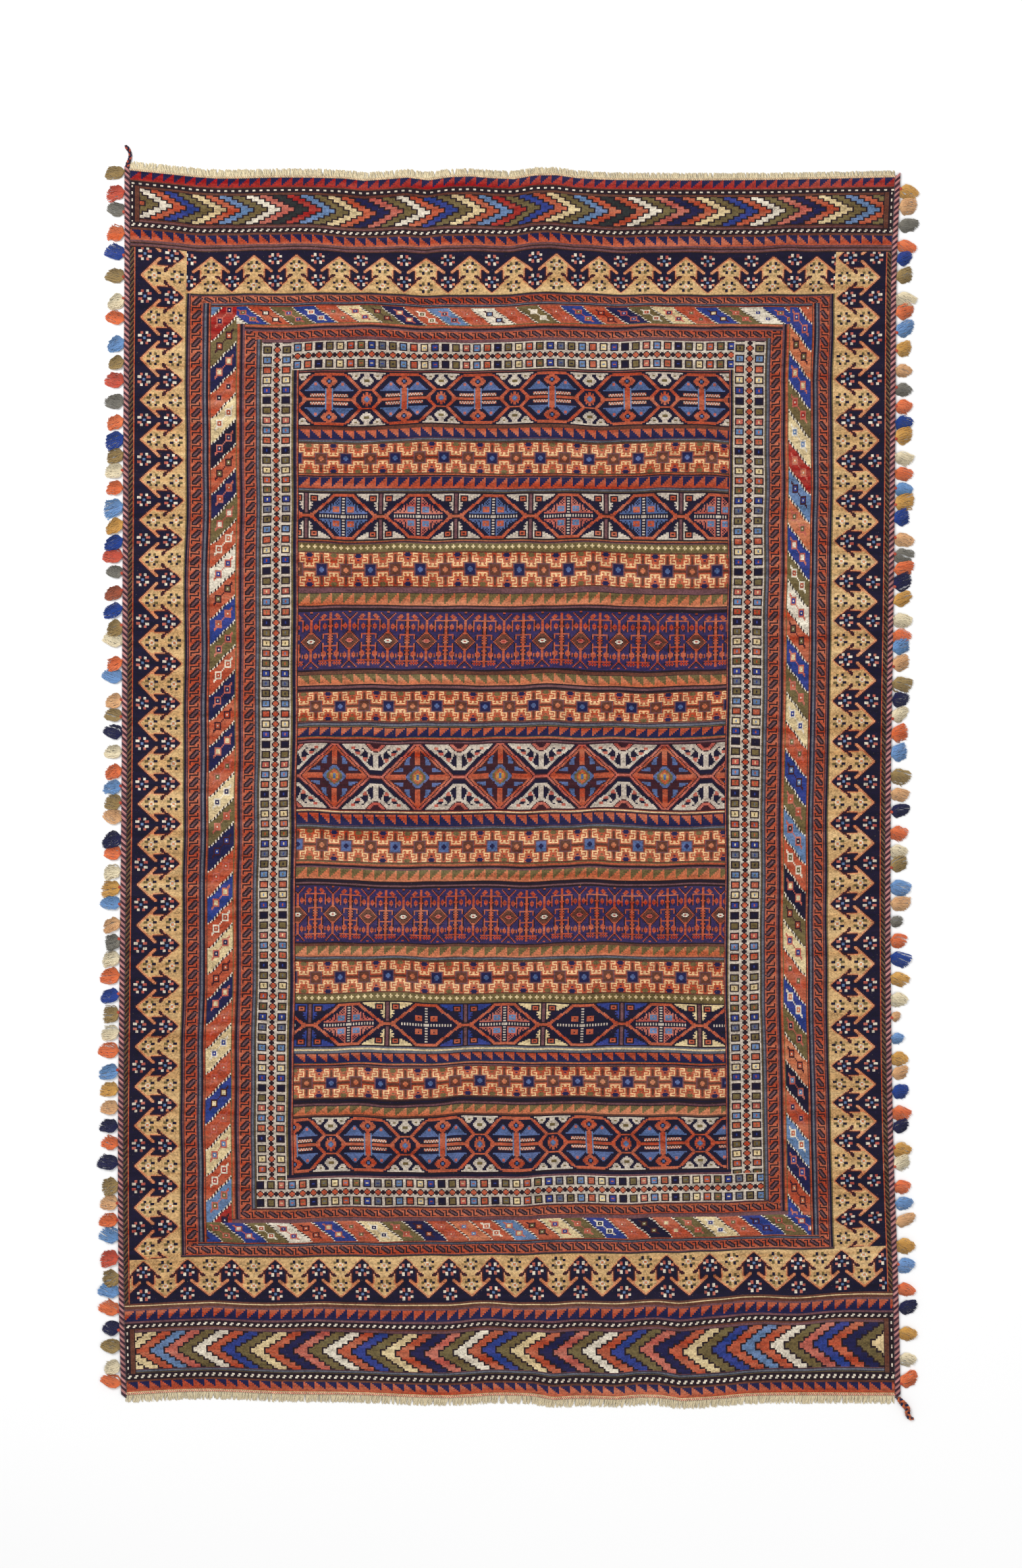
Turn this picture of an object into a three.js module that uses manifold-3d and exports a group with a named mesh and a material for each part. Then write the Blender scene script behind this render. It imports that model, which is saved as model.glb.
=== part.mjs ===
// A flat-woven soumak rug as it lies on a floor: the woven cloth, its two wrapped edge cords, the
// woollen tassels knotted along both long sides, the short cut warp ends, and two corner plaits.
// Millimetres. X runs across the rug, Y along it, Z up from the floor. The origin is on the floor,
// under the middle of the cloth.
import * as THREE from "three";
import { mergeVertices } from "three/addons/utils/BufferGeometryUtils.js";
import Module from "manifold-3d";

const wasm = await Module();
wasm.setup();

// Driving dimensions
const RUG_WIDTH = 1520; // over the edge cords, tassels left out
const RUG_LENGTH = 2393; // cloth only, warp ends left out
const CLOTH_THICKNESS = 4;
const EDGE_CORD_WIDTH = 12;
const EDGE_CORD_HEIGHT = 7;
const PIECE_GAP = 0.3;
const STRIP_WIDTH = 2.6; // the narrow strip that a row of tassels or warp ends grows from
const STRIP_HEIGHT = 2.6;

const CLOTH_COLUMNS = 36;
const CLOTH_ROWS = 34;
const END_FADE = 330; // the waves of an end edge die out this far into the cloth

// How far each long side strays from a straight line. down: share of the length from the top end;
// left and right: shift of that side towards +X.
const SIDE_SHIFT = [
  { down: 0.0, left: 4.4, right: 11.8 },
  { down: 0.08, left: 4.4, right: 4.0 },
  { down: 0.2, left: 2.4, right: 1.8 },
  { down: 0.35, left: 0.5, right: -1.8 },
  { down: 0.5, left: -1.3, right: -7.2 },
  { down: 0.65, left: -5.0, right: -7.6 },
  { down: 0.8, left: -8.5, right: -2.5 },
  { down: 0.92, left: -6.8, right: 7.0 },
  { down: 1.0, left: -2.2, right: 11.8 },
];

// The waves of each end edge. across: share of the width from the left; up: shift towards +Y.
const TOP_END = [
  { across: 0.0, up: 14.2 },
  { across: 0.05, up: 6.5 },
  { across: 0.11, up: -1.8 },
  { across: 0.2, up: 0.3 },
  { across: 0.28, up: -1.9 },
  { across: 0.32, up: -7.4 },
  { across: 0.35, up: 1.7 },
  { across: 0.385, up: -5.6 },
  { across: 0.43, up: 2.8 },
  { across: 0.5, up: -3.0 },
  { across: 0.54, up: 6.4 },
  { across: 0.59, up: -1.9 },
  { across: 0.66, up: -5.2 },
  { across: 0.84, up: -4.3 },
  { across: 1.0, up: 0.9 },
];
const BOTTOM_END = [
  { across: 0.0, up: -1.9 },
  { across: 0.05, up: 3.2 },
  { across: 0.11, up: 5.8 },
  { across: 0.2, up: 0.6 },
  { across: 0.3, up: -1.3 },
  { across: 0.42, up: -7.6 },
  { across: 0.47, up: -2.5 },
  { across: 0.53, up: -3.8 },
  { across: 0.56, up: -11.7 },
  { across: 0.59, up: -7.6 },
  { across: 0.65, up: -10.4 },
  { across: 0.68, up: -3.8 },
  { across: 0.72, up: -13.1 },
  { across: 0.77, up: -9.0 },
  { across: 0.82, up: -2.6 },
  { across: 1.0, up: -2.4 },
];

// Low swells where the cloth doesn't lie quite flat: the middle of each, its reach each way and its lift.
const SWELLS = [
  { x: -230, y: 1040, reachX: 62, reachY: 130, lift: 4.0 },
  { x: -95, y: 1030, reachX: 62, reachY: 125, lift: 3.4 },
  { x: 72, y: 1035, reachX: 70, reachY: 130, lift: 4.6 },
  { x: -130, y: -1035, reachX: 65, reachY: 125, lift: 3.6 },
  { x: 90, y: -1040, reachX: 62, reachY: 125, lift: 4.4 },
  { x: 335, y: -1035, reachX: 75, reachY: 130, lift: 5.0 },
  { x: 420, y: 690, reachX: 230, reachY: 110, lift: 4.6 },
  { x: -400, y: 420, reachX: 240, reachY: 105, lift: 4.0 },
  { x: 360, y: 150, reachX: 210, reachY: 100, lift: 3.6 },
  { x: -330, y: -310, reachX: 250, reachY: 110, lift: 4.2 },
  { x: 400, y: -520, reachX: 230, reachY: 105, lift: 4.4 },
  { x: -420, y: -800, reachX: 190, reachY: 100, lift: 3.4 },
];

// The tassels of each long side, in runs with even steps. from and to: how far the run's first and
// last tassel lie below the top end.
const TASSEL_RUNS = {
  left: [
    { from: 5, to: 444, count: 12 },
    { from: 478, to: 987, count: 16 },
    { from: 1030, to: 1531, count: 16 },
    { from: 1567, to: 2018, count: 13 },
    { from: 2050, to: 2371, count: 10 },
  ],
  right: [
    { from: 26, to: 452, count: 13 },
    { from: 483, to: 998, count: 17 },
    { from: 1031, to: 1505, count: 14 },
    { from: 1537, to: 2037, count: 14 },
    { from: 2080, to: 2371, count: 8 },
  ],
};
const TASSEL_LENGTH = { least: 27, most: 36 };
const TASSEL_WIDTH = { least: 19, most: 26 };
const TASSEL_TILT = 0.3; // radians, the most either way
// A tassel from its knot to its cut end: along as a share of its length, half as a share of its half
// width, high in millimetres off the floor.
const TASSEL_FORM = [
  { along: 0.03, half: 0.2, high: 2.2 },
  { along: 0.26, half: 0.46, high: 6.5 },
  { along: 0.62, half: 1.0, high: 9.0 },
  { along: 1.0, half: 0.86, high: 4.0 },
];

// The cut warp ends of each end of the rug, gathered into locks.
const WARP_LOCKS = 76;
const LOCK_WIDTH = 12;
const WARP_ENDS = {
  top: { out: 1, lengthLeft: 20, lengthRight: 11, lean: 0.0 },
  bottom: { out: -1, lengthLeft: 17, lengthRight: 18, lean: -3.5 },
};

// The corner plaits: their line on the floor from the edge cord's end, and how thick they are there.
const TOP_LEFT_PLAIT = [
  { x: -749.6, y: 1212.8, radius: 4.2 },
  { x: -748.0, y: 1220.4, radius: 4.2 },
  { x: -744.6, y: 1229.0, radius: 3.8 },
  { x: -743.4, y: 1238.0, radius: 3.5 },
  { x: -745.4, y: 1246.0, radius: 3.4 },
  { x: -749.6, y: 1252.0, radius: 4.0 },
  { x: -753.0, y: 1257.0, radius: 2.2 },
];
const BOTTOM_RIGHT_PLAIT = [
  { x: 765.8, y: -1203.6, radius: 4.0 },
  { x: 771.4, y: -1210.4, radius: 5.6 },
  { x: 778.6, y: -1218.0, radius: 6.2 },
  { x: 784.4, y: -1225.6, radius: 5.6 },
  { x: 784.8, y: -1235.6, radius: 5.2 },
  { x: 789.2, y: -1243.4, radius: 4.4 },
  { x: 797.0, y: -1245.6, radius: 2.2 },
];
const PLAIT_SIDES = 8;
const PLAIT_RIDGE = 0.14; // how far the twisted strands stand out, as a share of the radius
const PLAIT_TWIST = 0.62; // radians from one ring to the next

const half = { width: RUG_WIDTH / 2, length: RUG_LENGTH / 2 };
const clothHalfWidth = half.width - EDGE_CORD_WIDTH - PIECE_GAP;

// Smooth curve through a table's rows: key names the column of places, value the column of amounts.
function tableCurve(rows, key, value) {
  return (at) => {
    const last = rows.length - 1;
    const i = Math.min(last - 1, Math.max(0, rows.findIndex((row) => row[key] > at) - 1));
    const next = at >= rows[last][key] ? last - 1 : i;
    const share = (at - rows[next][key]) / (rows[next + 1][key] - rows[next][key]);
    const slope = (k) => {
      const before = Math.max(0, k - 1);
      const after = Math.min(last, k + 1);
      return (rows[after][value] - rows[before][value]) / (rows[after][key] - rows[before][key]);
    };
    const step = rows[next + 1][key] - rows[next][key];
    const s2 = share * share;
    const s3 = s2 * share;
    return (
      (2 * s3 - 3 * s2 + 1) * rows[next][value] +
      (s3 - 2 * s2 + share) * step * slope(next) +
      (3 * s2 - 2 * s3) * rows[next + 1][value] +
      (s3 - s2) * step * slope(next + 1)
    );
  };
}

// The same curve as straight runs between even stations, so that pieces that meet share one line.
function inRuns(curve, runs) {
  const values = Array.from({ length: runs + 1 }, (_, i) => curve(i / runs));
  return (at) => {
    const i = Math.min(runs - 1, Math.max(0, Math.floor(at * runs)));
    return values[i] + (values[i + 1] - values[i]) * (at * runs - i);
  };
}

const leftShift = inRuns(tableCurve(SIDE_SHIFT, "down", "left"), CLOTH_ROWS);
const rightShift = inRuns(tableCurve(SIDE_SHIFT, "down", "right"), CLOTH_ROWS);
const topShift = inRuns(tableCurve(TOP_END, "across", "up"), CLOTH_COLUMNS);
const bottomShift = inRuns(tableCurve(BOTTOM_END, "across", "up"), CLOTH_COLUMNS);

const easeOut = (distance) => {
  const share = Math.min(1, distance / END_FADE);
  return 1 - share * share * (3 - 2 * share);
};

// Where a place in the cloth lies: across and down are shares of its width and length.
function onCloth(across, down) {
  const fromTop = down * RUG_LENGTH;
  const x =
    (2 * across - 1) * clothHalfWidth + leftShift(down) * (1 - across) + rightShift(down) * across;
  const y =
    half.length -
    fromTop +
    topShift(across) * easeOut(fromTop) +
    bottomShift(across) * easeOut(RUG_LENGTH - fromTop);
  return { x, y };
}

// How far the cloth is off the floor there.
function liftAt(x, y) {
  return SWELLS.reduce((sum, swell) => {
    const away = Math.hypot((x - swell.x) / swell.reachX, (y - swell.y) / swell.reachY);
    return sum + (away < 1 ? swell.lift * Math.cos((away * Math.PI) / 2) ** 2 : 0);
  }, 0);
}

// A number from 0 to 1 that looks random but is the same on every run.
function chance(index, use) {
  const wave = Math.sin(index * 12.9898 + use * 78.233) * 43758.5453;
  return wave - Math.floor(wave);
}

const between = (range, share) => range.least + (range.most - range.least) * share;

// A closed surface through rings of points with an even number of points each, closed at both ends.
function loft(rings) {
  const sides = rings[0].length;
  const points = rings.flat().flatMap((p) => [p.x, p.y, p.z]);
  const faces = [];
  const quad = (a, b, c, d) => faces.push(a, b, c, a, c, d);
  for (let r = 0; r + 1 < rings.length; r++)
    for (let s = 0; s < sides; s++) {
      const next = (s + 1) % sides;
      quad(r * sides + s, r * sides + next, (r + 1) * sides + next, (r + 1) * sides + s);
    }
  const lastRing = (rings.length - 1) * sides;
  for (let s = 0; s + 1 < sides / 2; s++) {
    quad(s, sides - 1 - s, sides - 2 - s, s + 1);
    quad(lastRing + s, lastRing + s + 1, lastRing + sides - 2 - s, lastRing + sides - 1 - s);
  }
  const geometry = new THREE.BufferGeometry();
  geometry.setAttribute("position", new THREE.Float32BufferAttribute(points, 3));
  geometry.setIndex(faces);
  return facingOut(geometry);
}

// Turns every face round if the surface was wound inside out.
function facingOut(geometry) {
  const place = geometry.getAttribute("position");
  const corner = [new THREE.Vector3(), new THREE.Vector3(), new THREE.Vector3()];
  const faces = geometry.index.array;
  let volume = 0;
  for (let i = 0; i < faces.length; i += 3) {
    corner.forEach((v, k) => v.fromBufferAttribute(place, faces[i + k]));
    volume += corner[0].dot(corner[1].cross(corner[2]));
  }
  if (volume < 0)
    for (let i = 0; i < faces.length; i += 3)
      [faces[i + 1], faces[i + 2]] = [faces[i + 2], faces[i + 1]];
  return geometry;
}

function toSolid(geometry) {
  const bare = geometry.clone();
  bare.deleteAttribute("normal");
  bare.deleteAttribute("uv");
  const merged = mergeVertices(bare, 1e-4);
  return new wasm.Manifold(
    new wasm.Mesh({
      numProp: 3,
      vertProperties: new Float32Array(merged.getAttribute("position").array),
      triVerts: new Uint32Array(merged.index.array),
    }),
  );
}

function toGeometry(solid) {
  const { vertProperties, triVerts } = solid.getMesh();
  const geometry = new THREE.BufferGeometry();
  geometry.setAttribute("position", new THREE.BufferAttribute(vertProperties, 3));
  geometry.setIndex(new THREE.BufferAttribute(triVerts, 1));
  return geometry;
}

function namedMesh(name, geometry, look) {
  const mesh = new THREE.Mesh(geometry, new THREE.MeshStandardMaterial(look));
  mesh.name = name;
  return mesh;
}

// The cloth: a sheet of even thickness that follows the swells, flat on the floor between them.
function wovenCloth() {
  const rings = [];
  for (let row = 0; row <= CLOTH_ROWS; row++) {
    const line = Array.from({ length: CLOTH_COLUMNS + 1 }, (_, column) => {
      const { x, y } = onCloth(column / CLOTH_COLUMNS, row / CLOTH_ROWS);
      return new THREE.Vector3(x, y, liftAt(x, y));
    });
    const upper = line.map((p) => new THREE.Vector3(p.x, p.y, p.z + CLOTH_THICKNESS));
    rings.push([...upper, ...line.reverse()]);
  }
  return namedMesh("woven_cloth", loft(rings), { color: 0x8a4a34, roughness: 0.95, metalness: 0 });
}

// One long side's wrapped cord, from corner to corner, with a flat spot on the floor.
function edgeCord(side) {
  const out = side === "left" ? -1 : 1;
  const across = side === "left" ? 0 : 1;
  const middle = PIECE_GAP + EDGE_CORD_WIDTH / 2;
  const section = [
    { u: -0.5, v: 0.3 },
    { u: -0.28, v: 0 },
    { u: 0.28, v: 0 },
    { u: 0.5, v: 0.3 },
    { u: 0.5, v: 0.66 },
    { u: 0.26, v: 1 },
    { u: -0.26, v: 1 },
    { u: -0.5, v: 0.66 },
  ];
  const rings = Array.from({ length: CLOTH_ROWS + 1 }, (_, row) => {
    const { x, y } = onCloth(across, row / CLOTH_ROWS);
    return section.map(
      ({ u, v }) =>
        new THREE.Vector3(x + out * (middle + u * EDGE_CORD_WIDTH), y, v * EDGE_CORD_HEIGHT),
    );
  });
  return namedMesh(`edge_cord_${side}`, loft(rings), {
    color: 0x6e4450,
    roughness: 0.95,
    metalness: 0,
  });
}

// The outer line of an edge cord, at a distance below the top end.
function outerEdge(side, fromTop) {
  const { x, y } = onCloth(side === "left" ? 0 : 1, fromTop / RUG_LENGTH);
  const reach = PIECE_GAP + EDGE_CORD_WIDTH + PIECE_GAP;
  return { x: x + (side === "left" ? -reach : reach), y };
}

// Four-sided locks of wool, one for each tassel, lying on the floor.
function tassel(root, out, length, width, tilt) {
  const axis = new THREE.Vector2(out * Math.cos(tilt), Math.sin(tilt));
  const sideways = new THREE.Vector2(-axis.y, axis.x);
  return loft(
    TASSEL_FORM.map(({ along, half: share, high }) => {
      const reach = along * length;
      const wide = (share * width) / 2;
      return [
        { w: -wide, z: 0 },
        { w: wide, z: 0 },
        { w: wide * 0.72, z: high },
        { w: -wide * 0.72, z: high },
      ].map(
        ({ w, z }) =>
          new THREE.Vector3(
            root.x + axis.x * reach + sideways.x * w,
            root.y + axis.y * reach + sideways.y * w,
            z,
          ),
      );
    }),
  );
}

function tasselRow(side) {
  const out = side === "left" ? -1 : 1;
  const runs = TASSEL_RUNS[side];
  const places = runs.flatMap(({ from, to, count }) =>
    Array.from({ length: count }, (_, i) => from + ((to - from) * i) / (count - 1)),
  );
  const seed = side === "left" ? 1 : 200;
  const stations = Array.from({ length: CLOTH_ROWS + 1 }, (_, row) => row / CLOTH_ROWS);
  const strip = loft(
    stations.map((down) => {
      const { x, y } = outerEdge(side, down * RUG_LENGTH);
      return [
        new THREE.Vector3(x, y, 0),
        new THREE.Vector3(x + out * STRIP_WIDTH, y, 0),
        new THREE.Vector3(x + out * STRIP_WIDTH, y, STRIP_HEIGHT),
        new THREE.Vector3(x, y, STRIP_HEIGHT),
      ];
    }),
  );
  const joined = places.reduce((solid, fromTop, i) => {
    const edge = outerEdge(side, fromTop);
    const root = { x: edge.x + (out * STRIP_WIDTH) / 4, y: edge.y };
    const length = between(TASSEL_LENGTH, chance(seed + i, 1));
    const width = between(TASSEL_WIDTH, chance(seed + i, 2));
    const tilt = TASSEL_TILT * (2 * chance(seed + i, 3) - 1);
    return solid.add(toSolid(tassel(root, out, length, width, tilt)));
  }, toSolid(strip));
  return namedMesh(`tassels_${side}`, toGeometry(joined), {
    color: side === "left" ? 0xc8703f : 0xb98f4c,
    roughness: 1,
    metalness: 0,
  });
}

// The warp ends of one end as one flat comb: a strip along the cloth's edge and its locks.
function warpEnds(end) {
  const { out, lengthLeft, lengthRight, lean } = WARP_ENDS[end];
  const down = end === "top" ? 0 : 1;
  const shape = new THREE.Shape();
  const edge = (across, away) => {
    const { x, y } = onCloth(across, down);
    return { x, y: y + out * (PIECE_GAP + away) };
  };
  for (let column = 0; column <= CLOTH_COLUMNS; column++) {
    const { x, y } = edge(column / CLOTH_COLUMNS, 0);
    if (column === 0) shape.moveTo(x, y);
    else shape.lineTo(x, y);
  }
  const pitch = 1 / WARP_LOCKS;
  const halfLock = LOCK_WIDTH / 2 / (2 * clothHalfWidth);
  for (let lock = WARP_LOCKS - 1; lock >= 0; lock--) {
    const middle = (lock + 0.5) * pitch;
    const length =
      (lengthLeft + (lengthRight - lengthLeft) * middle) * (0.88 + 0.24 * chance(lock, 4 + down));
    const near = [middle + halfLock, middle - halfLock].map((at) => edge(at, STRIP_WIDTH));
    const far = [middle + 0.8 * halfLock, middle - 0.8 * halfLock].map((at) => edge(at, length));
    shape.lineTo(near[0].x, near[0].y);
    shape.lineTo(far[0].x + lean, far[0].y);
    shape.lineTo(far[1].x + lean, far[1].y);
    shape.lineTo(near[1].x, near[1].y);
  }
  const { x, y } = edge(0, STRIP_WIDTH);
  shape.lineTo(x, y);
  shape.closePath();
  const comb = new THREE.ExtrudeGeometry(shape, { depth: STRIP_HEIGHT, bevelEnabled: false });
  return namedMesh(`warp_ends_${end}`, comb, { color: 0xd9c49c, roughness: 1, metalness: 0 });
}

// A plaited corner end: a tapering ridged cord that lies on the floor along its table's line.
function plait(name, rows, look) {
  const middle = (row) => new THREE.Vector3(row.x, row.y, 0);
  const rings = rows.map((row, i) => {
    const before = middle(rows[Math.max(0, i - 1)]);
    const after = middle(rows[Math.min(rows.length - 1, i + 1)]);
    const forward = after.sub(before).normalize();
    const sideways = new THREE.Vector3(-forward.y, forward.x, 0);
    return Array.from({ length: PLAIT_SIDES }, (_, k) => {
      const turn = (2 * Math.PI * k) / PLAIT_SIDES;
      const radius = row.radius * (1 + PLAIT_RIDGE * Math.cos(2 * turn - i * PLAIT_TWIST));
      const point = middle(row).addScaledVector(sideways, radius * Math.cos(turn));
      point.z = Math.max(0, row.radius * 0.82 + radius * Math.sin(turn));
      return point;
    });
  });
  return namedMesh(name, loft(rings), look);
}

const rug = new THREE.Group();
rug.add(
  wovenCloth(),
  edgeCord("left"),
  edgeCord("right"),
  tasselRow("left"),
  tasselRow("right"),
  warpEnds("top"),
  warpEnds("bottom"),
  plait("corner_plait_top_left", TOP_LEFT_PLAIT, { color: 0x47293a, roughness: 1, metalness: 0 }),
  plait("corner_plait_bottom_right", BOTTOM_RIGHT_PLAIT, {
    color: 0xa8543c,
    roughness: 1,
    metalness: 0,
  }),
);

export default rug;
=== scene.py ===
# %% [markdown]
# # A soumak rug
#
# Soumak is a flat weave: the coloured wool isn't knotted and cut, it is wrapped around the warps row
# by row, so every row is a line of small slanted stitches. This rug has two borders of leaves and
# hooks, a field of wide bands, a wrapped cord along each long side, woollen tassels knotted to the
# cords, and short cut warps at the ends.
#
# The lesson builds it in that order. Lengths in the tables are millimetres on the loom, turned into
# metres where a mesh is made.

# %% The frame that the pieces are built in
import math

import bmesh
import bpy
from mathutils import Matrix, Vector, noise


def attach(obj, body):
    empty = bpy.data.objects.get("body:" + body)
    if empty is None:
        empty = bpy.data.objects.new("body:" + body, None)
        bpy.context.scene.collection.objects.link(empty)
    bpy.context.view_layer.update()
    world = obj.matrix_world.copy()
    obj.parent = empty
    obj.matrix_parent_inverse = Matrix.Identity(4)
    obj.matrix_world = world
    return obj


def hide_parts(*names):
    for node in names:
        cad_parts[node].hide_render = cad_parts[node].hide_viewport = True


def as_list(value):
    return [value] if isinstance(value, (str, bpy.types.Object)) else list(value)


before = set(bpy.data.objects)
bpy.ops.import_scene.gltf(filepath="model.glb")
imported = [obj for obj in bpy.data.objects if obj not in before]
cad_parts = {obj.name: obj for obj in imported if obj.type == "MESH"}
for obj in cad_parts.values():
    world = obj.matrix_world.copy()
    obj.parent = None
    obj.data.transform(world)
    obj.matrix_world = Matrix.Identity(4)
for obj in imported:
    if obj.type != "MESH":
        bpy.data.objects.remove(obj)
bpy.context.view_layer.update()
MM = 0.001
print("solids to dress:", sorted(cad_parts))

# %% [markdown]
# ## The loom
#
# A weaver thinks in rows and columns, and the finished rug is only a little bent version of that.
# So everything on the rug is placed on a flat loom first, and one function then says where a place on
# the loom ends up on the floor. The bends come from short tables: how far each long side strays,
# and the waves of the two end edges.

# %% The size of the rug and the bends of its edges
RUG_WIDTH = 1520  # over the cords
RUG_LENGTH = 2393
CLOTH_THICKNESS = 4
CORD_WIDTH = 12
CORD_HEIGHT = 7
GAP = 0.3  # between the cloth and what is fixed to it
CLOTH_COLUMNS = 36  # straight runs in an end edge
CLOTH_ROWS = 34  # straight runs in a side edge
END_FADE = 330  # how far into the cloth the waves of an end edge are felt
CALM_END, CALM_SIDE = 90, 60  # how near the edges the waves inside the cloth die down
HALF_WIDTH = RUG_WIDTH / 2 - CORD_WIDTH - GAP
HALF_LENGTH = RUG_LENGTH / 2

# share of the length from the top, shift of the left side, shift of the right side
SIDE_SHIFT = [
    (0.0, 4.4, 11.8), (0.08, 4.4, 4.0), (0.2, 2.4, 1.8), (0.35, 0.5, -1.8), (0.5, -1.3, -7.2),
    (0.65, -5.0, -7.6), (0.8, -8.5, -2.5), (0.92, -6.8, 7.0), (1.0, -2.2, 11.8),
]
# share of the width from the left, shift of the edge towards the top
TOP_END = [
    (0.0, 14.2), (0.05, 6.5), (0.11, -1.8), (0.2, 0.3), (0.28, -1.9), (0.32, -7.4), (0.35, 1.7),
    (0.385, -5.6), (0.43, 2.8), (0.5, -3.0), (0.54, 6.4), (0.59, -1.9), (0.66, -5.2), (0.84, -4.3),
    (1.0, 0.9),
]
BOTTOM_END = [
    (0.0, -1.9), (0.05, 3.2), (0.11, 5.8), (0.2, 0.6), (0.3, -1.3), (0.42, -7.6), (0.47, -2.5),
    (0.53, -3.8), (0.56, -11.7), (0.59, -7.6), (0.65, -10.4), (0.68, -3.8), (0.72, -13.1),
    (0.77, -9.0), (0.82, -2.6), (1.0, -2.4),
]
# middle across, middle along, reach across, reach along, lift
SWELLS = [
    (-230, 1040, 62, 130, 4.0), (-95, 1030, 62, 125, 3.4), (72, 1035, 70, 130, 4.6),
    (-130, -1035, 65, 125, 3.6), (90, -1040, 62, 125, 4.4), (335, -1035, 75, 130, 5.0),
    (420, 690, 230, 110, 4.6), (-400, 420, 240, 105, 4.0), (360, 150, 210, 100, 3.6),
    (-330, -310, 250, 110, 4.2), (400, -520, 230, 105, 4.4), (-420, -800, 190, 100, 3.4),
]


def table_curve(rows, column):
    """A smooth curve through one column of a table."""

    def slope(k):
        low, high = max(0, k - 1), min(len(rows) - 1, k + 1)
        return (rows[high][column] - rows[low][column]) / (rows[high][0] - rows[low][0])

    def smooth(at):
        k = max(0, min(len(rows) - 2, sum(row[0] <= at for row in rows) - 1))
        step = rows[k + 1][0] - rows[k][0]
        t = (at - rows[k][0]) / step
        return (
            (2 * t**3 - 3 * t**2 + 1) * rows[k][column] + (t**3 - 2 * t**2 + t) * step * slope(k)
            + (3 * t**2 - 2 * t**3) * rows[k + 1][column] + (t**3 - t**2) * step * slope(k + 1)
        )

    return smooth


def in_runs(curve, runs):
    """The same curve as straight runs between even stations, which is how the solids have it."""
    values = [curve(i / runs) for i in range(runs + 1)]

    def at(share):
        i = max(0, min(runs - 1, int(share * runs)))
        return values[i] + (values[i + 1] - values[i]) * (share * runs - i)

    return at


left_shift = in_runs(table_curve(SIDE_SHIFT, 1), CLOTH_ROWS)
right_shift = in_runs(table_curve(SIDE_SHIFT, 2), CLOTH_ROWS)
top_shift = in_runs(table_curve(TOP_END, 1), CLOTH_COLUMNS)
bottom_shift = in_runs(table_curve(BOTTOM_END, 1), CLOTH_COLUMNS)


def fade(distance, reach):
    """1 at an edge, falling softly to 0 where the edge is as far away as the reach."""
    share = max(0.0, min(1.0, distance / reach))
    return 1 - share * share * (3 - 2 * share)


# %% Waves inside the cloth
# length of the wave across, its length along, its seed, its height
LONG_WAVE = (150, 210, 4.3, 6)
SHORT_WAVE = (60, 160, 9.1, 2)
SIDE_SWAY = (260, 130, 17.7, 3.2)
UNEVEN_TOP = (35, 35, 2.2, 0.35)
# how far below the top end, rise of the rows at the left, in the middle, at the right
ROW_DRIFT = [
    (0, 0, 0, 0), (150, 0, 0, 0), (1700, 0, 0, 0), (1990, 0, 4, 14), (2130, 0, 6, 23),
    (2210, 0, 5, 22), (2290, 0, 2, 20), (2350, 0, 1, 9), (2393, 0, 0, 0),
]


def ripple(x, y, wave):
    """How high a smooth random wave is at a place on the loom."""
    across, along, seed, height = wave
    return noise.noise(Vector((x / across, y / along, seed))) * height


def row_drift(across, down):
    """How far the rows of weaving climb there, because the weaver's rows aren't quite level."""
    k = max(0, min(len(ROW_DRIFT) - 2, sum(row[0] <= down for row in ROW_DRIFT) - 1))
    low, high = ROW_DRIFT[k], ROW_DRIFT[k + 1]
    t = (down - low[0]) / (high[0] - low[0])
    left, middle, right = (low[c] + (high[c] - low[c]) * t for c in (1, 2, 3))
    if across < 0.5:
        return left + (middle - left) * across * 2
    return middle + (right - middle) * (across * 2 - 1)


def on_floor(x, y):
    """Where a place on the loom lies on the floor, with its height above it, all in millimetres."""
    across = (x + HALF_WIDTH) / (2 * HALF_WIDTH)
    down = (HALF_LENGTH - y) / RUG_LENGTH
    from_top, from_bottom = down * RUG_LENGTH, (1 - down) * RUG_LENGTH
    off_ends = 1 - fade(min(from_top, from_bottom), CALM_END)
    off_sides = 1 - fade(min(across, 1 - across) * 2 * HALF_WIDTH, CALM_SIDE)
    wave = ripple(x, y, LONG_WAVE) + ripple(x, y, SHORT_WAVE)
    sway = ripple(x, y, SIDE_SWAY)
    floor_x = x + left_shift(down) * (1 - across) + right_shift(down) * across + sway * off_sides
    floor_y = (
        y + top_shift(across) * fade(from_top, END_FADE)
        + bottom_shift(across) * fade(from_bottom, END_FADE)
        + (wave + row_drift(across, from_top)) * off_ends
    )
    lift = 0.0
    for middle_x, middle_y, reach_x, reach_y, height in SWELLS:
        away = math.hypot((floor_x - middle_x) / reach_x, (floor_y - middle_y) / reach_y)
        if away < 1:
            lift += height * math.cos(away * math.pi / 2) ** 2
    return floor_x, floor_y, lift


corner = on_floor(-HALF_WIDTH, HALF_LENGTH)
print("top left corner of the cloth, mm:", [round(v, 1) for v in corner])

# %% [markdown]
# ## The dye pots
#
# A village rug uses wool in many shades, because it is dyed in small lots. One letter stands for each
# shade, and the same letters are used in every chart below: blues, darks, reds and pinks, browns and
# greys, golds and creams. The colours are given as on a screen and turned into the linear values that a
# renderer works with.

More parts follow.
